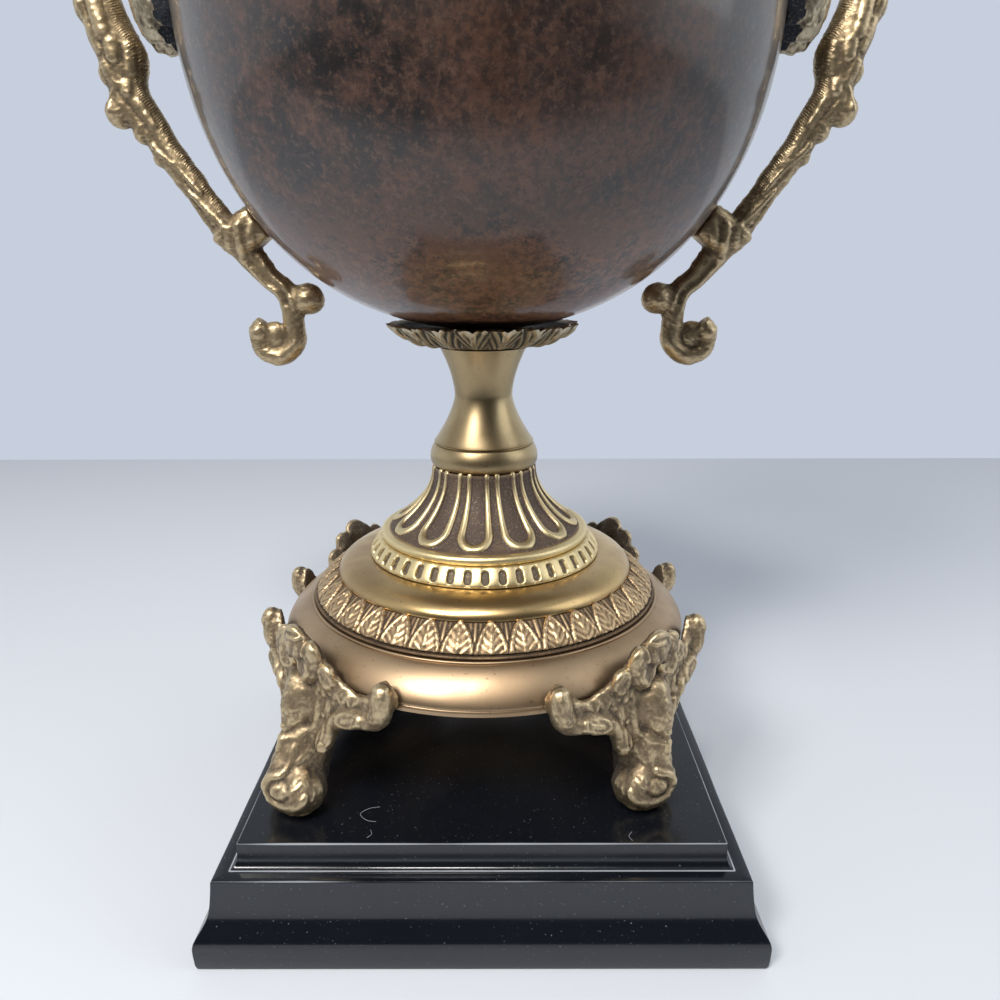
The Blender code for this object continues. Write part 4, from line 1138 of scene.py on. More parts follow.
def slot_field(share, columns):
    """Upright slots with round ends, cut between swelling lands in a coved band."""
    across, _ = tips(columns, SLOTS, SLOT_OFFSET)
    end = np.clip(np.abs(share - 0.5) - 0.20, 0.0, None) * 2.35
    away = np.hypot(across, end)
    sunk = 1.0 - ease((away - 0.34) / 0.13)
    land = 0.30 * ridge(1.0 - np.abs(across), 0.70)
    return -0.95 * sunk + land * (1.0 - sunk)


def tongue_field(share, columns):
    """Long tongues: a raised round rim shaped like a U round a low middle, on a low ground."""
    across, _ = tips(columns, TONGUES, TONGUES * (270.0 - TONGUE_TURN) / 360.0)
    below = np.clip(0.205 - share, 0.0, None) * 4.0
    away = np.hypot(across, below)
    rim = ridge(np.abs(away - 0.63), 0.175)
    middle = 0.12 * (1.0 - ease(away / 0.5))
    inner = np.where(away < 0.63, middle, 0.0)
    ground = -0.15 * ease((away - 0.80) / 0.12)
    fade = np.minimum(ease((share - 0.004) / 0.02), 0.45 + 0.55 * ease((1.0 - share) / 0.6))
    return (1.2 * np.maximum(rim, inner) + ground) * fade


def build_slot_band():
    """The coved band with its slots, up to the smooth ring."""
    run = [(CONE_FOOT - 0.2 + (RING_EDGE + 0.6 - CONE_FOOT) * share ** 1.4,
            CONE_LOW + 0.3 + (SLOT_BAND - 0.5) * share) for share in shares(24)]
    ring_low = CONE_LOW + SLOT_BAND
    after = arc((RING_EDGE - 1.7, ring_low + 1.5), 1.7, -62, 90, 12)
    after += [(FLUTE_FOOT + 0.3, ring_low + RING_HEIGHT - 0.3), (RING_EDGE - 6.0, ring_low)]
    start = [(CONE_FOOT - 3.0, CONE_LOW), (CONE_FOOT, CONE_LOW), (CONE_FOOT, CONE_LOW + 0.25)]
    return carved("slot_band", carved_run(start, run, after), SLOTS * 22, slot_field)


def build_trumpet():
    """The trumpet with its tongues, down to the smooth ring."""
    flute_low = CONE_LOW + SLOT_BAND + RING_HEIGHT - 0.35
    run = [(FLUTE_TOP - 0.3 + (FLUTE_FOOT - FLUTE_TOP) * (1.0 - share) ** 2.3,
            flute_low + (CONE_HIGH - flute_low) * share) for share in np.power(shares(70), 1.35)]
    line = [(RING_EDGE - 6.0, flute_low - 2.0, -1), (FLUTE_FOOT + 0.2, flute_low - 0.2, -1)]
    line += [(r, z, (z - flute_low) / (CONE_HIGH - flute_low)) for r, z in run]
    line += [(FLUTE_TOP - 6.0, CONE_HIGH, -1), (FLUTE_TOP - 6.0, CONE_HIGH - 3.0, -1)]
    return carved("fluted_trumpet", line, TONGUES * 48, tongue_field)


slot_band = build_slot_band()
mark_relief(slot_band, -0.9, 0.15)
fit(slot_band, cast_brass["slots"], "aged_brass", "fluted_cone")
trumpet = build_trumpet()
mark_relief(trumpet, 0.1, 0.85)
fit(trumpet, cast_brass["trumpet"], "aged_brass", "fluted_cone")

# %% Leaf cup
CUP_LEAVES = 18
CUP_OFFSET = 0.25
CUP_LOW = low("leaf_cup")
CUP_RIM = 33.4
CUP_HEIGHT = 9.0
CUP_SEAT = 6.4
CUP_FOOT = 15.4


def cup_field(share, columns):
    """Broad leaves with a midrib, whose ends curl and part at the rim."""
    across, which = tips(columns, CUP_LEAVES, CUP_OFFSET)
    rib = 0.55 * ridge(np.abs(across), 0.22) * ease(share / 0.4)
    veins = 0.25 * np.sin(2.0 * pi * (np.abs(across) * 2.2 - share * 2.4)) * ease(share / 0.3)
    body = 0.8 * np.cos(0.5 * pi * across) * ease(share / 0.5)
    ragged = 0.35 * np.sin(which * 2.7 + 5.0 * across) * ease((share - 0.7) / 0.3)
    return rib + veins + body + ragged - 0.4


def build_cup():
    """The shallow collar of leaves, with a hollow inside that the body's foot sits in."""
    run = [(CUP_FOOT + (CUP_RIM - CUP_FOOT) * share ** 0.75, CUP_LOW + (CUP_HEIGHT - 1.2) * share ** 1.35)
           for share in shares(30)]
    top = CUP_LOW + CUP_HEIGHT - 0.6
    seat = CUP_LOW + CUP_SEAT
    inside = [(CUP_RIM - 1.0, top), (CUP_RIM - 2.2, top - 0.2), (CUP_RIM - 5.0, top - 1.4),
              (23.0, seat - 0.3), (14.0, seat), (0.0, seat)]
    line = carved_run([(0.0, CUP_LOW), (CUP_FOOT - 0.4, CUP_LOW)], run, inside)
    obj = carved("leaf_collar", line, CUP_LEAVES * 30, cup_field)
    points = read_points(obj.data)
    turn = np.arctan2(points[:, 1], points[:, 0])
    out = np.hypot(points[:, 0], points[:, 1])
    wave = np.abs(((turn / (2.0 * pi) * CUP_LEAVES - CUP_OFFSET) % 1.0) * 2.0 - 1.0)
    notch = 1.6 * np.exp(-((1.0 - wave) / 0.16) ** 2) + 0.5 * np.abs(np.sin(turn * 45.0))
    share = ease((out - 0.80 * CUP_RIM) / (0.2 * CUP_RIM))
    points[:, 2] -= 0.55 * notch * share
    points[:, :2] *= (1.0 - 0.8 * notch * share / np.maximum(out, 1.0))[:, None]
    write_points(obj.data, points)
    return obj


cup = build_cup()
mark_relief(cup, -0.5, 0.9)
fit(cup, cast_brass["cup"], "cast_brass", "leaf_cup")

# %% [markdown]
# ## The body, the neck, the lid and the finial
#
# The body is an oval of two halves that meet at the belly, slightly squarer than an ellipse. It is
# hollow with a wall of 5 mm, open at the mouth. The photograph ends above the belly, so the
# shoulder, the lid and the finial are plain forms of the kind such urns have.

# %% Body
BELLY = 288.1
BODY_EDGE = reach("body")
BODY_LOW = low("body")
BODY_HIGH = high("body")
LOWER = 98.0
UPPER = 62.0
ROUNDNESS = 2.14
BODY_WALL = 5.0
BODY_FOOT = 12.0
MOUTH = 46.0
INSIDE_END = -72.0


def body_point(angle_degrees, inset=0.0):
    """Radius, height and outward direction of the body at an angle above its belly."""
    angle = radians(angle_degrees)
    side = 1.0 if angle > 0.0 else -1.0
    half = (UPPER if angle > 0.0 else LOWER) - inset
    wide = BODY_EDGE - inset
    across = abs(cos(angle)) ** (2.0 / ROUNDNESS)
    along = abs(sin(angle)) ** (2.0 / ROUNDNESS)
    slope = (across ** (ROUNDNESS - 1.0) / wide, side * along ** (ROUNDNESS - 1.0) / half)
    length = hypot(*slope)
    return wide * across, BELLY + side * half * along, slope[0] / length, slope[1] / length


def beside_body(angle_degrees, clearance):
    """Radius and height of a point that stands off the body."""
    radius, height, out, up = body_point(angle_degrees)
    return radius + out * clearance, height + up * clearance


def body_angle(radius, inset=0.0):
    """The angle, without its sign, at which the body has a radius."""
    return degrees(acos((radius / (BODY_EDGE - inset)) ** (ROUNDNESS / 2.0)))


def build_body():
    """The hollow ovoid, with a rounded edge at the mouth."""
    line = [(0.0, BODY_LOW)]
    line += [body_point(a)[:2] for a in np.linspace(-body_angle(BODY_FOOT), body_angle(MOUTH + 0.6), 150)]
    line += [(MOUTH, BODY_HIGH - 0.2), (MOUTH - 0.6, BODY_HIGH), (MOUTH - BODY_WALL + 0.4, BODY_HIGH)]
    inside_top = body_angle(MOUTH - BODY_WALL, BODY_WALL)
    line += [body_point(a, BODY_WALL)[:2] for a in np.linspace(inside_top, INSIDE_END, 60)]
    line.append((0.0, BODY_LOW + BODY_WALL))
    return turned("glazed_body", line, 192, smooth_angle=50.0)


fit(build_body(), glaze, "mottled_glaze", "body")

# %% Neck rim, lid and finial
RIM_LOW = low("neck_rim")
RIM_HIGH = high("neck_rim")
LID_HIGH = high("lid")
LID_SEAT = RIM_HIGH + 0.3
LID_FLAT = 9.0
LID_WALL = 4.0
FINIAL_LOW = low("finial")
FINIAL_HIGH = high("finial")
FINIAL_HALF = 10.5
FINIAL_SHAPE = (
    (0.0, 0.0), (0.93, 0.0), (1.0, 0.03), (0.99, 0.06), (0.75, 0.09), (0.5, 0.13), (0.37, 0.2), (0.33, 0.27),
    (0.47, 0.30), (0.53, 0.33), (0.47, 0.36), (0.44, 0.39), (0.6, 0.43), (0.8, 0.49), (0.88, 0.56),
    (0.87, 0.63), (0.78, 0.71), (0.62, 0.79), (0.45, 0.87), (0.3, 0.94), (0.14, 0.985), (0.0, 1.0))


def build_rim():
    """The brass ring on the mouth: a bead, a hollow and a flared top."""
    height = RIM_HIGH - RIM_LOW
    shape = ((-BODY_WALL, 0.0), (1.0, 0.0), (2.1, 0.05), (2.5, 0.16), (1.8, 0.27), (0.2, 0.34), (-0.5, 0.46),
             (0.2, 0.60), (2.2, 0.74), (3.3, 0.82), (3.4, 0.92), (2.9, 1.0), (-BODY_WALL, 1.0))
    line = [(MOUTH + out, RIM_LOW + height * share) for out, share in shape]
    return turned("neck_ring", line, 192, smooth_angle=50.0)


def build_lid():
    """The domed lid with its spigot, hollow inside."""
    edge = MOUTH + 1.0
    spigot = MOUTH - BODY_WALL - 0.8
    height = LID_HIGH - LID_SEAT
    line = [(0.0, LID_HIGH)] + arc((LID_FLAT, LID_SEAT), (edge - LID_FLAT, height), 90, 2, 39)
    line += [(edge - 0.1, LID_SEAT + 0.2), (edge - 0.5, LID_SEAT), (spigot, LID_SEAT),
             (spigot, LID_SEAT - LID_WALL), (spigot - LID_WALL, LID_SEAT - LID_WALL)]
    line += arc((LID_FLAT, LID_SEAT), (spigot - LID_WALL - LID_FLAT, height - LID_WALL), 0, 90, 15)
    line.append((0.0, LID_HIGH - LID_WALL))
    return turned("domed_lid", line, 192, smooth_angle=50.0)


def build_finial():
    """The turned knob: a disc, a neck with a ring, and a bud."""
    line = [(max(FINIAL_HALF * r, 0.0), FINIAL_LOW + (FINIAL_HIGH - FINIAL_LOW) * share)
            for r, share in smooth_path(FINIAL_SHAPE, 90)]
    return turned("finial_bud", line, 96, smooth_angle=50.0)


fit(build_rim(), bright_brass, "aged_brass", "neck_rim")
fit(build_lid(), glaze, "mottled_glaze", "lid")
fit(build_finial(), bright_brass, "aged_brass", "finial")

# %% [markdown]
# ## The feet
#
# Each foot is one casting: a winged bracket that hugs the dish, a boss in the middle, a leg with ribs
# and a scrolled toe. All lumps are placed on one foot that faces +X: by their turn round the
# dish in degrees, how far they stand out and how high they lie above the plinth. The same mould
# gives four feet. The front left one is bent, as in the photograph.

# %% Foot mould
LIFT = 43.2
BACK = 75.6
FRONT = 79.8
FOOT_EDGES = (
    (0.0, 1.46, 0.55, -0.3), (3.4, 1.42, 0.56, 0.5), (5.4, 1.34, 0.6, 0.3), (7.8, 1.30, 0.68, 0.5),
    (10.2, 1.22, 0.75, 0.3), (12.6, 1.17, 0.79, 0.5), (17.5, 1.10, 0.83, 0.3), (21.4, 1.09, 0.87, 0.8),
    (24.8, 1.21, 0.92, 2.0), (27.1, 1.25, 0.98, 2.4), (29.0, 1.2, 1.03, 1.8), (29.8, 1.14, 1.07, 1.0))
CREST_LEAN = 2.6
FOOT_VOXEL = 0.42
FOOT_SHARE = 0.50
PETALS = ((6.2, 3.6, 55.2, (2.9, 4.2, 5.4)), (10.6, 2.8, 50.2, (2.7, 4.0, 4.4)),
          (4.4, 3.6, 50.0, (3.2, 5.0, 5.0)))
WING_ROPES = (
    (((24.4, 2.4, 39.8), (26.2, 3.8, 43.4), (27.2, 4.6, 47.6), (27.2, 4.6, 51.4)), (3.2, 3.7, 3.7, 3.4)),
    (((25.2, 2.8, 40.6), (20.6, 3.2, 39.4), (15.6, 3.0, 37.4), (11.4, 2.2, 33.4), (8.4, 1.2, 26.0)),
     (3.0, 3.4, 3.2, 3.2, 3.2)))


def on_dish(turn_degrees, out, lift):
    """A point of the foot that faces +X: turn round the dish, distance out from its edge, height."""
    turn = radians(turn_degrees)
    return ((BACK + out) * cos(turn), (BACK + out) * sin(turn), PLINTH_TOP + lift)


def bracket():
    """The winged plate behind the lumps."""
    edges = [(-turn, *rest) for turn, *rest in FOOT_EDGES[:0:-1]] + list(FOOT_EDGES)
    sections = []
    for turn, top, bottom, swell in smooth_path(edges, 93):
        lean = CREST_LEAN * float(ease(1.0 - abs(turn) / 8.0))
        top, bottom = top * LIFT, bottom * LIFT
        front = FRONT - BACK - 1.2
        ring = ((0.0, bottom), (0.6 * front, bottom - 0.2),
                (front + 0.5 * swell, 0.8 * bottom + 0.2 * top),
                (front + 0.8 * swell, 0.5 * bottom + 0.5 * top),
                (front + 0.6 * swell, 0.2 * bottom + 0.8 * top), (2.4 + lean, top),
                (0.6 + lean, top), (0.2 + 0.5 * lean, 0.4 * bottom + 0.6 * top))
        sections.append([on_dish(turn, out, lift) for out, lift in ring])
    return skin(sections)


def wing_lumps():
    """The petals of the crest, the finger at the tip, the full lower edge and the web down to the leg."""
    lumps = [ball(on_dish(-0.6, 4.4, 58.0), (3.2, 6.0, 6.2))]
    for side in (1, -1):
        lumps += [ball(on_dish(side * turn, out, lift), radii) for turn, out, lift, radii in PETALS]
    for path, radii in WING_ROPES:
        for side in (1, -1):
            lumps.append(rope([on_dish(side * turn, out, lift) for turn, out, lift in path], radii))
    return lumps


def leg_lumps():
    """The boss, the leg and the toe."""
    def at(aside, out, lift):
        return (BACK + out, aside, PLINTH_TOP + lift)

    lumps = [ball(at(0.0, 3.2, 38.2), (6.6, 6.9, 9.4)), ball(at(0.0, 1.0, 36.0), (5.4, 11.0, 15.0))]
    leg = [at(0, 0.0, 37), at(0, -0.4, 28), at(0, 0.2, 19), at(0, 1.8, 10)]
    lumps.append(rope(leg, (11.4, 11.2, 11.2, 11.8), flat=0.60, sides=28))
    lumps.append(ball(at(-0.6, 2.2, 8.6), (9.2, 12.4, 9.2)))
    lumps.append(ball(at(-3.4, 4.6, 9.6), (6.0, 9.6, 8.6)))
    return lumps


foot_lumps = [bracket()] + wing_lumps() + leg_lumps()
print(len(foot_lumps), "lumps in a foot")

# %% [markdown]
# A lump is too coarse for ribs and rims, so those are strokes carved after the melting. Each stroke is
# a path over the front of the foot, given as distance aside and lift, with a half-width and a height.
# Raised strokes push the skin out and the others sink it. A Multires sculpt with a mask would
# give the same, but a list of strokes can be read and changed.

# %% Strokes on the foot
ARC = 82.0
WING_STRENGTH = 0.62
WING_SPREAD = 1.15
BOTH_STROKES = (
    (((9.2, 59.8), (12.6, 57.8), (14.6, 54.6), (13.6, 52.2)), 0.9, 0.7),
    (((8.6, 57.0), (10.6, 54.2)), 0.8, -0.5), (((15.6, 54.0), (18.4, 51.6), (19.0, 48.8)), 0.9, 0.6),
    (((14.6, 51.2), (16.6, 48.4)), 0.8, -0.5),
    (((8.6, 52.9), (9.2, 50.6), (7.0, 47.8), (4.0, 47.2), (2.2, 49.4), (2.4, 51.9)), 0.9, 1.0),
    (((5.6, 51.6), (5.2, 49.8)), 1.9, -1.2), (((16.6, 47.6), (16.4, 45.4)), 1.5, 0.9),
    (((13.4, 46.2), (13.3, 43.5)), 1.2, 0.9), (((19.4, 44.8), (19.0, 44.2)), 1.2, 0.7),
    (((18.0, 42.2), (17.8, 41.8)), 1.0, 0.6), (((15.4, 40.2), (14.6, 37.2)), 1.5, 1.0),
    (((11.0, 45.4), (10.6, 44.6)), 1.3, 0.7),
    (((33.0, 47.0), (30.0, 46.4), (25.8, 42.9), (24.4, 45.4), (21.7, 43.0), (20.2, 45.3)), 0.8, 0.7),
    (((31.0, 39.6), (29.6, 42.0), (23.6, 41.0), (21.6, 37.8), (25.4, 36.6), (31.0, 39.6)), 0.8, 0.8),
    (((28.6, 40.2), (24.6, 38.8)), 0.7, 0.4),
    (((22.4, 42.0), (19.9, 39.4), (18.1, 36.2), (16.9, 31.7), (15.0, 27.0)), 1.1, 0.8),
    (((12.1, 35.0), (10.7, 30.8), (10.4, 26.2), (11.2, 22.6)), 0.8, 0.8),
    (((13.8, 33.0), (13.4, 28.6), (12.0, 24.6)), 0.8, 0.7),
    (((12.6, 33.6), (12.0, 29.4), (11.2, 25.0)), 0.8, -0.6),
    (((7.4, 27.0), (7.2, 23.0), (6.0, 19.4)), 0.7, 0.6),
    (((4.4, 24.0), (4.6, 20.6), (3.8, 17.6)), 0.7, 0.5),
    (((0.0, 29.0), (-0.2, 27.0), (-0.2, 23.6)), 1.5, 1.1),
    (((3.4, 29.6), (3.2, 25.6), (2.6, 21.0)), 1.2, -0.9),
    (((34.6, 52.6), (35.8, 48.0), (34.4, 43.4)), 0.9, 0.6))
ONE_STROKES = (
    (((-6.6, 56.0), (-7.0, 60.6), (-3.4, 63.2), (1.4, 62.6), (4.6, 59.4), (4.8, 55.0),
     (2.4, 52.6)), 0.9, 0.8), (((-6.6, 61.8), (-3.4, 60.8), (0.2, 61.0)), 0.6, 0.5),
    (((-3.0, 59.0), (-1.6, 55.6), (0.0, 53.6)), 1.0, -0.5),
    (((-13.4, 26.0), (-14.4, 19.0), (-14.0, 13.6), (-11.8, 9.0), (-8.0, 6.2), (-3.8, 6.0),
     (-0.4, 8.0), (1.0, 11.4), (-0.2, 14.8), (-3.6, 16.6)), 1.5, 0.9),
    (((-16.4, 20.0), (-16.6, 13.0), (-14.0, 7.0), (-9.4, 3.6), (-4.0, 3.0), (1.6, 4.6), (4.4, 9.0),
     (4.2, 14.0)), 1.0, -0.55),
    (((-17.0, 9.0), (-13.0, 3.0), (-6.0, 0.8), (1.0, 0.8), (6.4, 3.4), (9.0, 9.0)), 1.7, 0.7),
    (((-11.2, 22.0), (-11.0, 17.4), (-9.4, 13.4), (-7.0, 11.4)), 1.0, 0.5),
    (((-8.4, 22.0), (-8.2, 18.6)), 0.9, 0.5), (((-4.6, 11.4), (-4.5, 11.3)), 3.0, 1.3),
    (((-8.6, 14.4), (-8.5, 14.3)), 1.2, 0.3),
    (((-8.0, 10.4), (-6.0, 8.2), (-3.2, 8.0), (-1.2, 10.6), (-2.4, 14.0)), 0.8, -0.5))


def to_path(places, path):
    """Distance of every place to a smooth path, in its own plane."""
    path = smooth_path(path, (len(path) - 1) * 4 + 1)
    best = np.full(len(places), 1e9)
    for start, end in zip(path, path[1:]):
        run = end - start
        share = np.clip(((places - start) @ run) / max(float(run @ run), 1e-9), 0.0, 1.0)
        best = np.minimum(best, np.hypot(*(places - start - share[:, None] * run).T))
    return best


def carve(points, normals, places, facing, strokes, strength=1.0, spread=1.0):
    """Push a skin out along raised strokes and in along sunk ones."""
    out = np.zeros(len(points))
    down = np.zeros(len(points))
    for path, width, height in strokes:
        away = to_path(places, path) / (spread * width)
        height = strength * height
        if height > 0.0:
            out = np.maximum(out, height * np.clip(1.0 - away ** 2, 0.0, None) ** 0.6)
        else:
            down = np.minimum(down, height * np.exp(-1.2 * away ** 2))
    return points + normals * ((out + down) * facing)[:, None]


def hammer(obj, points, normals, height, size, seed):
    """Ease the strokes, give the skin small hammer marks, and measure its hollows again."""
    points = relax(points, edge_ends(obj.data), 2, 0.5)
    points = points + normals * (height * np.abs(wobble(points, size, seed)) - 0.5 * height)[:, None]
    write_points(obj.data, points)
    mark_hollows(obj, fine_rounds=5, fine_depth=0.20, broad_depth=0.9)
    return points


def carve_foot(obj):
    """The strokes on both wings and on the middle, and the framed oval of the boss."""
    points, normals = read_points(obj.data), read_normals(obj.data)
    turn = np.arctan2(points[:, 1], points[:, 0])
    outward = normals[:, 0] * np.cos(turn) + normals[:, 1] * np.sin(turn)
    facing = ease((outward + 0.05) / 0.5)
    aside, lift = ARC * turn, points[:, 2] - PLINTH_TOP
    oval = tuple((8.2 * sin(t), 38.2 + 10.4 * cos(t)) for t in np.linspace(0.0, 2.0 * pi, 13))
    frame_line = tuple((10.0 * sin(t), 38.0 + 12.0 * cos(t)) for t in np.linspace(0.5, 2.0 * pi - 0.5, 13))
    places = np.column_stack([aside, lift])
    both_sides = np.column_stack([np.abs(aside), lift])
    points = carve(points, normals, places, facing, ONE_STROKES)
    points = carve(points, normals, places, facing, ((oval, 1.3, -0.8), (frame_line, 1.0, 0.25)))
    points = carve(points, normals, both_sides, facing, BOTH_STROKES, WING_STRENGTH, WING_SPREAD)
    hammer(obj, points, normals, 0.10, 2.6, 5)
    # Painted shade on the inner side of the foot, which faces the dish.
    darken(obj, ease((-0.15 - outward) / 0.3))


foot_mould = melt("foot_mould", foot_lumps, FOOT_VOXEL, 8, ((8.0, 0.16), (3.0, 0.05)), 11)
carve_foot(foot_mould)
thin(foot_mould, FOOT_SHARE)
print("foot mould", len(foot_mould.data.vertices), "points")

# %% Four feet
FOOT_PLACES = (("foot_front_left", -139.0, 7.6, 2.8), ("foot_front_right", -45.6, 0.0, 0.0),
               ("foot_back_right", 46.0, 0.0, 0.0), ("foot_back_left", 137.0, 0.0, 0.0))
FOOT_FLOOR = PLINTH_TOP + 0.1


def place_foot(node, heading, splay, aside):
    """A copy of the mould, bent out and aside below its boss and turned to its heading."""
    points = read_points(foot_mould.data)
    mirrored = "left" in node
    points[:, 1] *= -1.0 if mirrored else 1.0
    bend = ease((0.8 - (points[:, 2] - PLINTH_TOP) / LIFT) / 0.6)
    points[:, 0] += splay * bend
    points[:, 1] += aside * bend
    points[:, 2] = np.maximum(points[:, 2], FOOT_FLOOR)
    turn = radians(heading)
    turned_points = points @ np.array([[cos(turn), sin(turn), 0], [-sin(turn), cos(turn), 0], [0, 0, 1]])
    obj = put_in_scene(node + "_casting", foot_mould.data.copy())
    if mirrored:
        obj.data.flip_normals()
    write_points(obj.data, turned_points)
    fit(obj, cast_brass["feet"], "cast_brass", node)


for node, heading, splay, aside in FOOT_PLACES:
    place_foot(node, heading, splay, aside)
bpy.data.objects.remove(foot_mould)

# %% [markdown]
# ## The handles and the side mounts
#
# A handle follows the body at a changing distance, so its stations are given as an angle above
# the belly and a distance from the body. It starts as a thick leafy top and thins to a
# grooved rod. A block holds it to the body, and it ends in a ball and a hook. The left one mirrors it.

# %% Handle stations
HANDLE_STATIONS = (
    (29.0, 0.6, 5.5, 5.5, 6.0), (28.6, 9.0, 4.8, 4.8, 5.5), (26.6, 19.0, 4.8, 5.4, 5.5),
    (21.5, 26.5, 5.2, 6.0, 6.0), (14.5, 29.6, 5.8, 6.0, 6.5), (6.0, 28.8, 6.4, 7.0, 7.0),
    (-1.0, 26.2, 7.4, 7.4, 7.0), (-5.6, 23.6, 9.0, 7.6, 7.0), (-9.0, 23.2, 7.0, 6.6, 6.0),
    (-11.6, 22.0, 5.8, 9.2, 6.0), (-15.0, 19.4, 5.4, 5.4, 5.2), (-20.0, 16.8, 5.2, 5.0, 4.8),
    (-26.0, 14.2, 5.1, 4.4, 4.4), (-32.0, 12.8, 5.4, 4.4, 4.8), (-36.5, 11.6, 5.4, 5.8, 5.4),
    (-40.5, 11.4, 5.6, 4.6, 4.6), (-46.5, 12.0, 4.6, 3.8, 4.0), (-50.8, 12.4, 4.6, 3.4, 4.0))
HOOK_RADIUS = 7.2
HOOK_TURN = 235.0
HOOK_WIDTH = 7.6
HOOK_DROP = 14.2
BALL_RADIUS = 5.6
LUG_ANGLE = -37.6
LUG_SIZE = 13.4
HANDLE_VOXEL = 0.48
HANDLE_SHARE = 0.62
STEPS = 6


def handle_route():
    """Points of the handle's middle in the XZ plane, each with three half-widths."""
    route = [(*beside_body(angle, gap), *widths) for angle, gap, *widths in HANDLE_STATIONS]
    centre = Vector(route[-1][:2]) + Vector((HOOK_RADIUS - 2.4, -HOOK_DROP))
    for share in shares(8):
        turn = radians(180.0 + HOOK_TURN * share)
        width = HOOK_WIDTH * (0.5 - 0.05 * share)
        place = centre + HOOK_RADIUS * (1.0 - 0.22 * share) * Vector((cos(turn), sin(turn)))
        route.append((place.x, place.y, width, width, 4.0))
    return smooth_path(route, (len(route) - 1) * STEPS + 1), centre


handle_line, hook_centre = handle_route()
handle_ahead = np.gradient(handle_line[:, :2], axis=0)
handle_ahead /= np.linalg.norm(handle_ahead, axis=1)[:, None]


def on_handle(station, towards_body, aside):
    """A point at a station of the handle; offsets are shares of its half-widths."""
    place = station * STEPS
    i = min(int(place), len(handle_line) - 2)
    t = place - i
    x, z, inner, outer, deep = handle_line[i] * (1.0 - t) + handle_line[i + 1] * t
    ahead = handle_ahead[i] * (1.0 - t) + handle_ahead[i + 1] * t
    off = towards_body * (inner if towards_body > 0.0 else outer)
    return (x + off * ahead[1], deep * aside, z - off * ahead[0])


def handle_rod():
    """The rod with its changing section."""
    sections = []
    for (x, z, inner, outer, deep), ahead in zip(handle_line, handle_ahead):
        loop = []
        for k in range(16):
            turn = 2.0 * pi * k / 16
            off = (inner if cos(turn) > 0.0 else outer) * cos(turn) * 0.96
            loop.append((x + off * ahead[1], 0.92 * deep * sin(turn), z - off * ahead[0]))
        sections.append(loop)
    return skin(sections)


print("handle", len(handle_line), "places")


# %% Handle details
HANDLE_LOBES = ((9.0, -0.70, (4.7, 5.2, 5.0)), (10.0, -0.62, (3.2, 4.4, 4.6)), (10.9, -0.62, (2.2, 3.6, 3.6)),
                (7.4, -0.55, (4.0, 5.6, 5.0)), (5.6, -0.55, (4.4, 5.8, 6.0)), (3.6, -0.5, (4.2, 5.4, 6.0)))


def handle_leaves():
    """The round lobe on the outer side, the leaf tips below it and a few full lobes at the thick top."""
    lumps = [ball(on_handle(station, aside, 0.0), radii) for station, aside, radii in HANDLE_LOBES]
    cuff = [on_handle(13.7, 0.9 * cos(t), 0.9 * sin(t)) for t in np.linspace(0.0, 2.0 * pi, 17)]
    lumps.append(rope(cuff, 1.3, steps=3))
    return lumps


def handle_block():
    """The block that holds the handle to the body, the ball, and the curl that fills the hook."""
    radius, height, out, up = body_point(LUG_ANGLE)
    sections = []
    for clearance, size in ((0.5, 0.84), (1.4, 0.95), (5.0, 1.0), (9.0, 0.98), (12.6, 0.8), (14.0, 0.55)):
        centre = (radius + out * clearance, height + up * clearance)
        loop = []
        for t in np.linspace(0.0, 2.0 * pi, 24, endpoint=False):
            a = 0.5 * LUG_SIZE * size * np.sign(cos(t)) * abs(cos(t)) ** 0.6
            b = 0.5 * LUG_SIZE * size * np.sign(sin(t)) * abs(sin(t)) ** 0.6
            loop.append((centre[0] - up * a, b, centre[1] + out * a))
        sections.append(loop)
    lumps = [skin(sections)]
    for angle, gap, radii in ((-54.6, 8.4, (BALL_RADIUS,) * 3), (-53.0, 10.6, (5.4, 4.2, 4.8))):
        x, z = beside_body(angle, gap)
        lumps.append(ball((x, 0.0, z), radii))
    lumps.append(ball((hook_centre.x + 0.4, 0.0, hook_centre.y + 0.2), (5.4, 2.9, 5.4)))
    lumps.append(ball(on_handle(24.6, 0.0, 0.0), (3.7, 4.4, 3.7)))
    return lumps


handle_lumps = [handle_rod()] + handle_leaves() + handle_block()
print(len(handle_lumps), "lumps in a handle")

# %% [markdown]
# The strokes on the handle are given as a station and a share of its half-width there, so they follow
# the rod where it bends. The fine hatching on its inner edge is only a bump in the finish; the mesh
# stores how far along the rod each point lies and where the hatching shows.

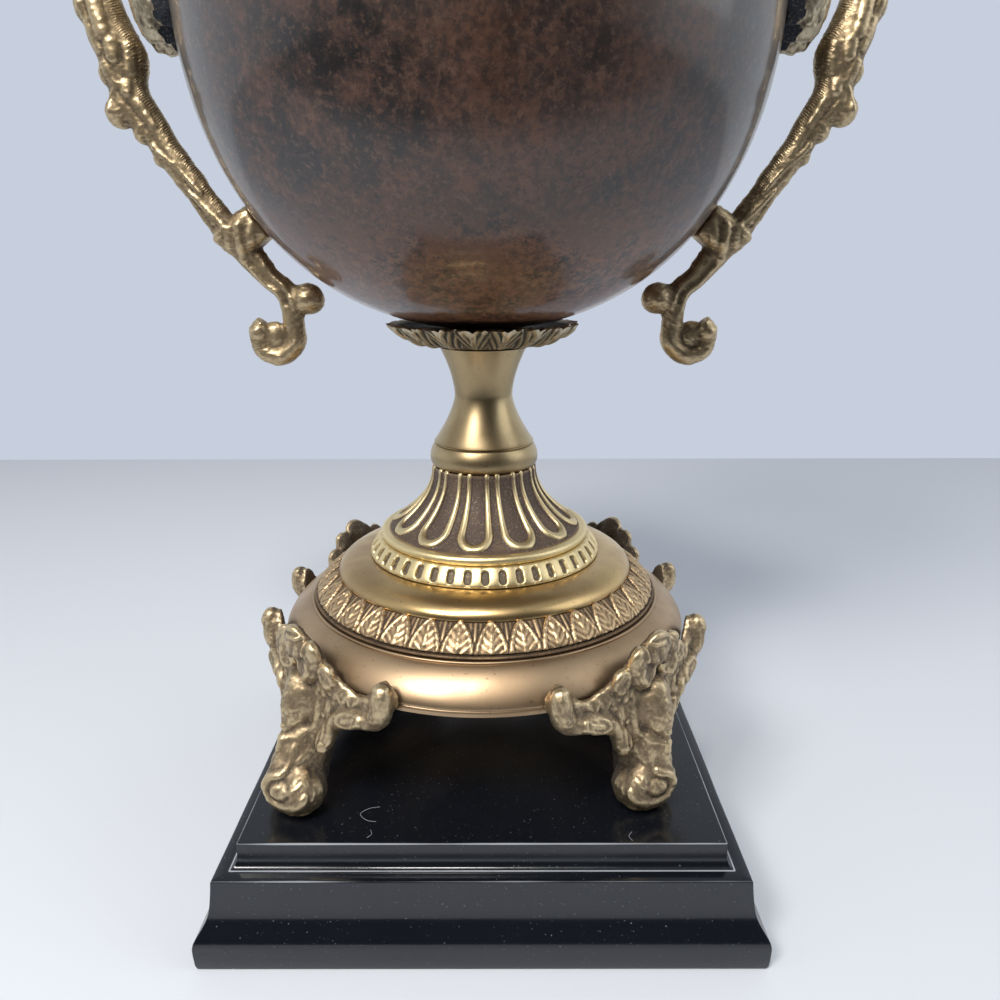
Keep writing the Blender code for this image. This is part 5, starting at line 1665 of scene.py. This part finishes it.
# %% Strokes on the handle
HANDLE_STROKES = (
    (((0.6, 0.5), (1.8, 0.2)), 2.4, 1.2), (((1.4, -0.5), (2.6, -0.2)), 2.2, 1.1),
    (((2.6, 0.5), (3.6, 0.2)), 2.2, 1.1), (((3.4, -0.6), (4.6, -0.2)), 2.0, 1.1),
    (((4.4, 0.4), (5.2, 0.2)), 2.2, 1.2), (((5.6, 0.0), (6.3, -0.05)), 2.6, 1.3),
    (((6.7, 0.1), (7.0, 0.0)), 2.4, 1.1), (((5.2, -0.7), (6.6, -0.5)), 1.5, 0.8),
    (((6.8, 0.62), (7.6, 0.5)), 1.6, 0.7), (((7.2, -0.5), (7.9, -0.4)), 1.7, 0.9),
    (((8.1, 0.15), (8.5, 0.1)), 2.1, 0.9), (((8.0, -0.15), (8.4, -0.6), (9.0, -0.9)), 0.9, 0.7),
    (((9.3, 0.4), (10.2, 0.3)), 1.2, 0.5), (((9.0, -0.1), (10.6, -0.15), (12.2, -0.1)), 1.1, -0.7),
    (((10.6, -0.5), (11.4, -0.1), (12.4, 0.3)), 1.0, 0.6),
    (((12.2, -0.3), (13.0, 0.1), (13.6, 0.2)), 1.1, 0.7),
    (((11.8, -0.6), (12.6, -0.5), (13.4, -0.5)), 0.9, -0.6),
    (((14.0, 0.9), (14.6, 0.2), (15.2, -0.4)), 1.5, 0.8), (((13.9, 0.2), (14.4, -0.5)), 1.3, 0.6),
    (((14.4, 1.6), (14.9, 0.9)), 1.5, 0.6), (((15.4, 0.6), (16.6, 0.4), (17.4, 0.4)), 0.8, 0.5),
    (((15.4, -0.5), (16.4, -0.5), (17.4, -0.5)), 0.8, 0.5), (((15.4, 0.0), (17.2, 0.0)), 0.9, -0.5))
HATCH_START = 30
HATCH_END = 80
BATCH = 4000


def carve_handle(obj):
    """The strokes on both flat sides, and the stored places for the hatching along the inner edge."""
    points, normals = read_points(obj.data), read_normals(obj.data)
    line = handle_line[:, :2]
    nearest = np.empty(len(points), dtype=int)
    for start in range(0, len(points), BATCH):
        part = points[start:start + BATCH][:, [0, 2]]
        nearest[start:start + BATCH] = np.argmin(((part[:, None, :] - line[None]) ** 2).sum(-1), axis=1)
    away = points[:, [0, 2]] - line[nearest]
    ahead = handle_ahead[nearest]
    across = away[:, 0] * ahead[:, 1] - away[:, 1] * ahead[:, 0]
    step = np.linalg.norm(np.diff(line, axis=0), axis=1)
    length = np.concatenate([[0.0], np.cumsum(step)])
    along_mm = length[nearest] + np.einsum("ij,ij->i", away, ahead)
    flat = ease((np.abs(normals[:, 1]) - 0.15) / 0.5)
    strokes = []
    for path, width, height in HANDLE_STROKES:
        places = []
        for station, share in path:
            i = min(int(round(station * STEPS)), len(handle_line) - 1)
            reach_here = handle_line[i, 2] if share > 0.0 else handle_line[i, 3]
            places.append((length[i], share * reach_here))
        strokes.append((tuple(places), width, height))
    places = np.column_stack([along_mm, across])
    points = carve(points, normals, places, flat, strokes, 0.9)
    points = hammer(obj, points, normals, 0.12, 2.4, 9)
    hatched = ease((across / handle_line[nearest, 2] - 0.45) / 0.3)
    hatched *= ease((along_mm - length[HATCH_START]) / 3.0) * ease((length[HATCH_END] - along_mm) / 3.0)
    store(obj, "along", along_mm + 0.35 * across + 0.15 * wobble(points, 5.0, 3))
    store(obj, "hatched", hatched)


def mirror_copy(obj, name):
    """The same casting mirrored across the YZ plane."""
    mesh = obj.data.copy()
    points = read_points(mesh)
    points[:, 0] *= -1.0
    mesh.flip_normals()
    write_points(mesh, points)
    return put_in_scene(name, mesh)


handle = melt("handle_right_casting", handle_lumps, HANDLE_VOXEL, 6, ((10.0, 0.15), (3.2, 0.05)), 21)
carve_handle(handle)
thin(handle, HANDLE_SHARE)
fit(handle, cast_brass["handles"], "cast_brass", "handle_right")
fit(mirror_copy(handle, "handle_left_casting"), cast_brass["handles"], "cast_brass", "handle_left")

# %% Side mounts
MOUNT_LOW = -5.2
MOUNT_HIGH = 19.0
MOUNT_HALF = 11.5
MOUNT_BULGE = 15.5
MOUNT_LOBES = 5
MOUNT_VOXEL = 0.6
MOUNT_COLUMNS = 60
SHADE_REACH = 6.5


def side_mount():
    """A leaf cartouche on the body: lobed ribs that end in a jagged lower edge."""
    sections = []
    for i in range(MOUNT_COLUMNS + 1):
        across = -1.0 + 2.0 * i / MOUNT_COLUMNS
        fullness = sqrt(max(1.0 - across * across, 0.0))
        lobe = abs(cos(0.5 * pi * MOUNT_LOBES * across))
        turn = radians(MOUNT_HALF * across)
        low_angle = MOUNT_LOW + (1.0 - fullness) * 5.0 + 2.4 * (1.0 - lobe)
        high_angle = MOUNT_HIGH - (1.0 - fullness) * 6.0
        inner, outer = [], []
        for share in shares(12):
            angle = low_angle + (high_angle - low_angle) * share
            rise = sin(pi * min(0.10 + 0.95 * share, 1.0)) ** 0.4
            swell = 0.6 + (MOUNT_BULGE * (0.25 + 0.75 * fullness) - 0.6) * rise
            groove = 1.8 * (1.0 - lobe) * fullness
            for target, clearance in ((inner, 0.6), (outer, 1.8 + swell - groove)):
                radius, height = beside_body(angle, clearance)
                target.append((radius * cos(turn), radius * sin(turn), height))
        sections.append(inner + outer[::-1])
    lumps = [skin(sections)]
    for k in range(-2, 3):
        turn = radians(MOUNT_HALF * k / 2.6)
        off = abs(k)
        for angle, gap, size in ((-4.4 + 0.9 * off, 7.5, 2.0), (-2.0 + off, 12.0 - off, 2.3),
                                 (2.0, 14.5 - off, 2.1), (7.5, 15.2 - off, 2.0)):
            radius, height = beside_body(angle, gap)
            place = (radius * cos(turn), radius * sin(turn), height)
            lumps.append(ball(place, (size, 0.85 * size, 1.3 * size)))
    return lumps


def shade_underside(obj):
    """Painted shade: the mount is near black where it lies close to the body, on the side under it."""
    points = read_points(obj.data)
    half = np.where(points[:, 2] > BELLY, UPPER, LOWER)
    share = np.clip(np.abs(points[:, 2] - BELLY) / half, 0.0, 0.999)
    radius = BODY_EDGE * (1.0 - share ** ROUNDNESS) ** (1.0 / ROUNDNESS)
    clearance = np.hypot(points[:, 0], points[:, 1]) - radius
    darken(obj, ease((SHADE_REACH - clearance + 1.2 * wobble(points, 4.0, 7)) / 1.6))


mount = melt("side_mount_right_casting", side_mount(), MOUNT_VOXEL, 2, ((5.0, 0.2), (2.0, 0.08)), 31)
shade_underside(mount)
fit(mount, cast_brass["mounts"], "cast_brass", "side_mount_right")
fit(mirror_copy(mount, "side_mount_left_casting"), cast_brass["mounts"], "cast_brass", "side_mount_left")
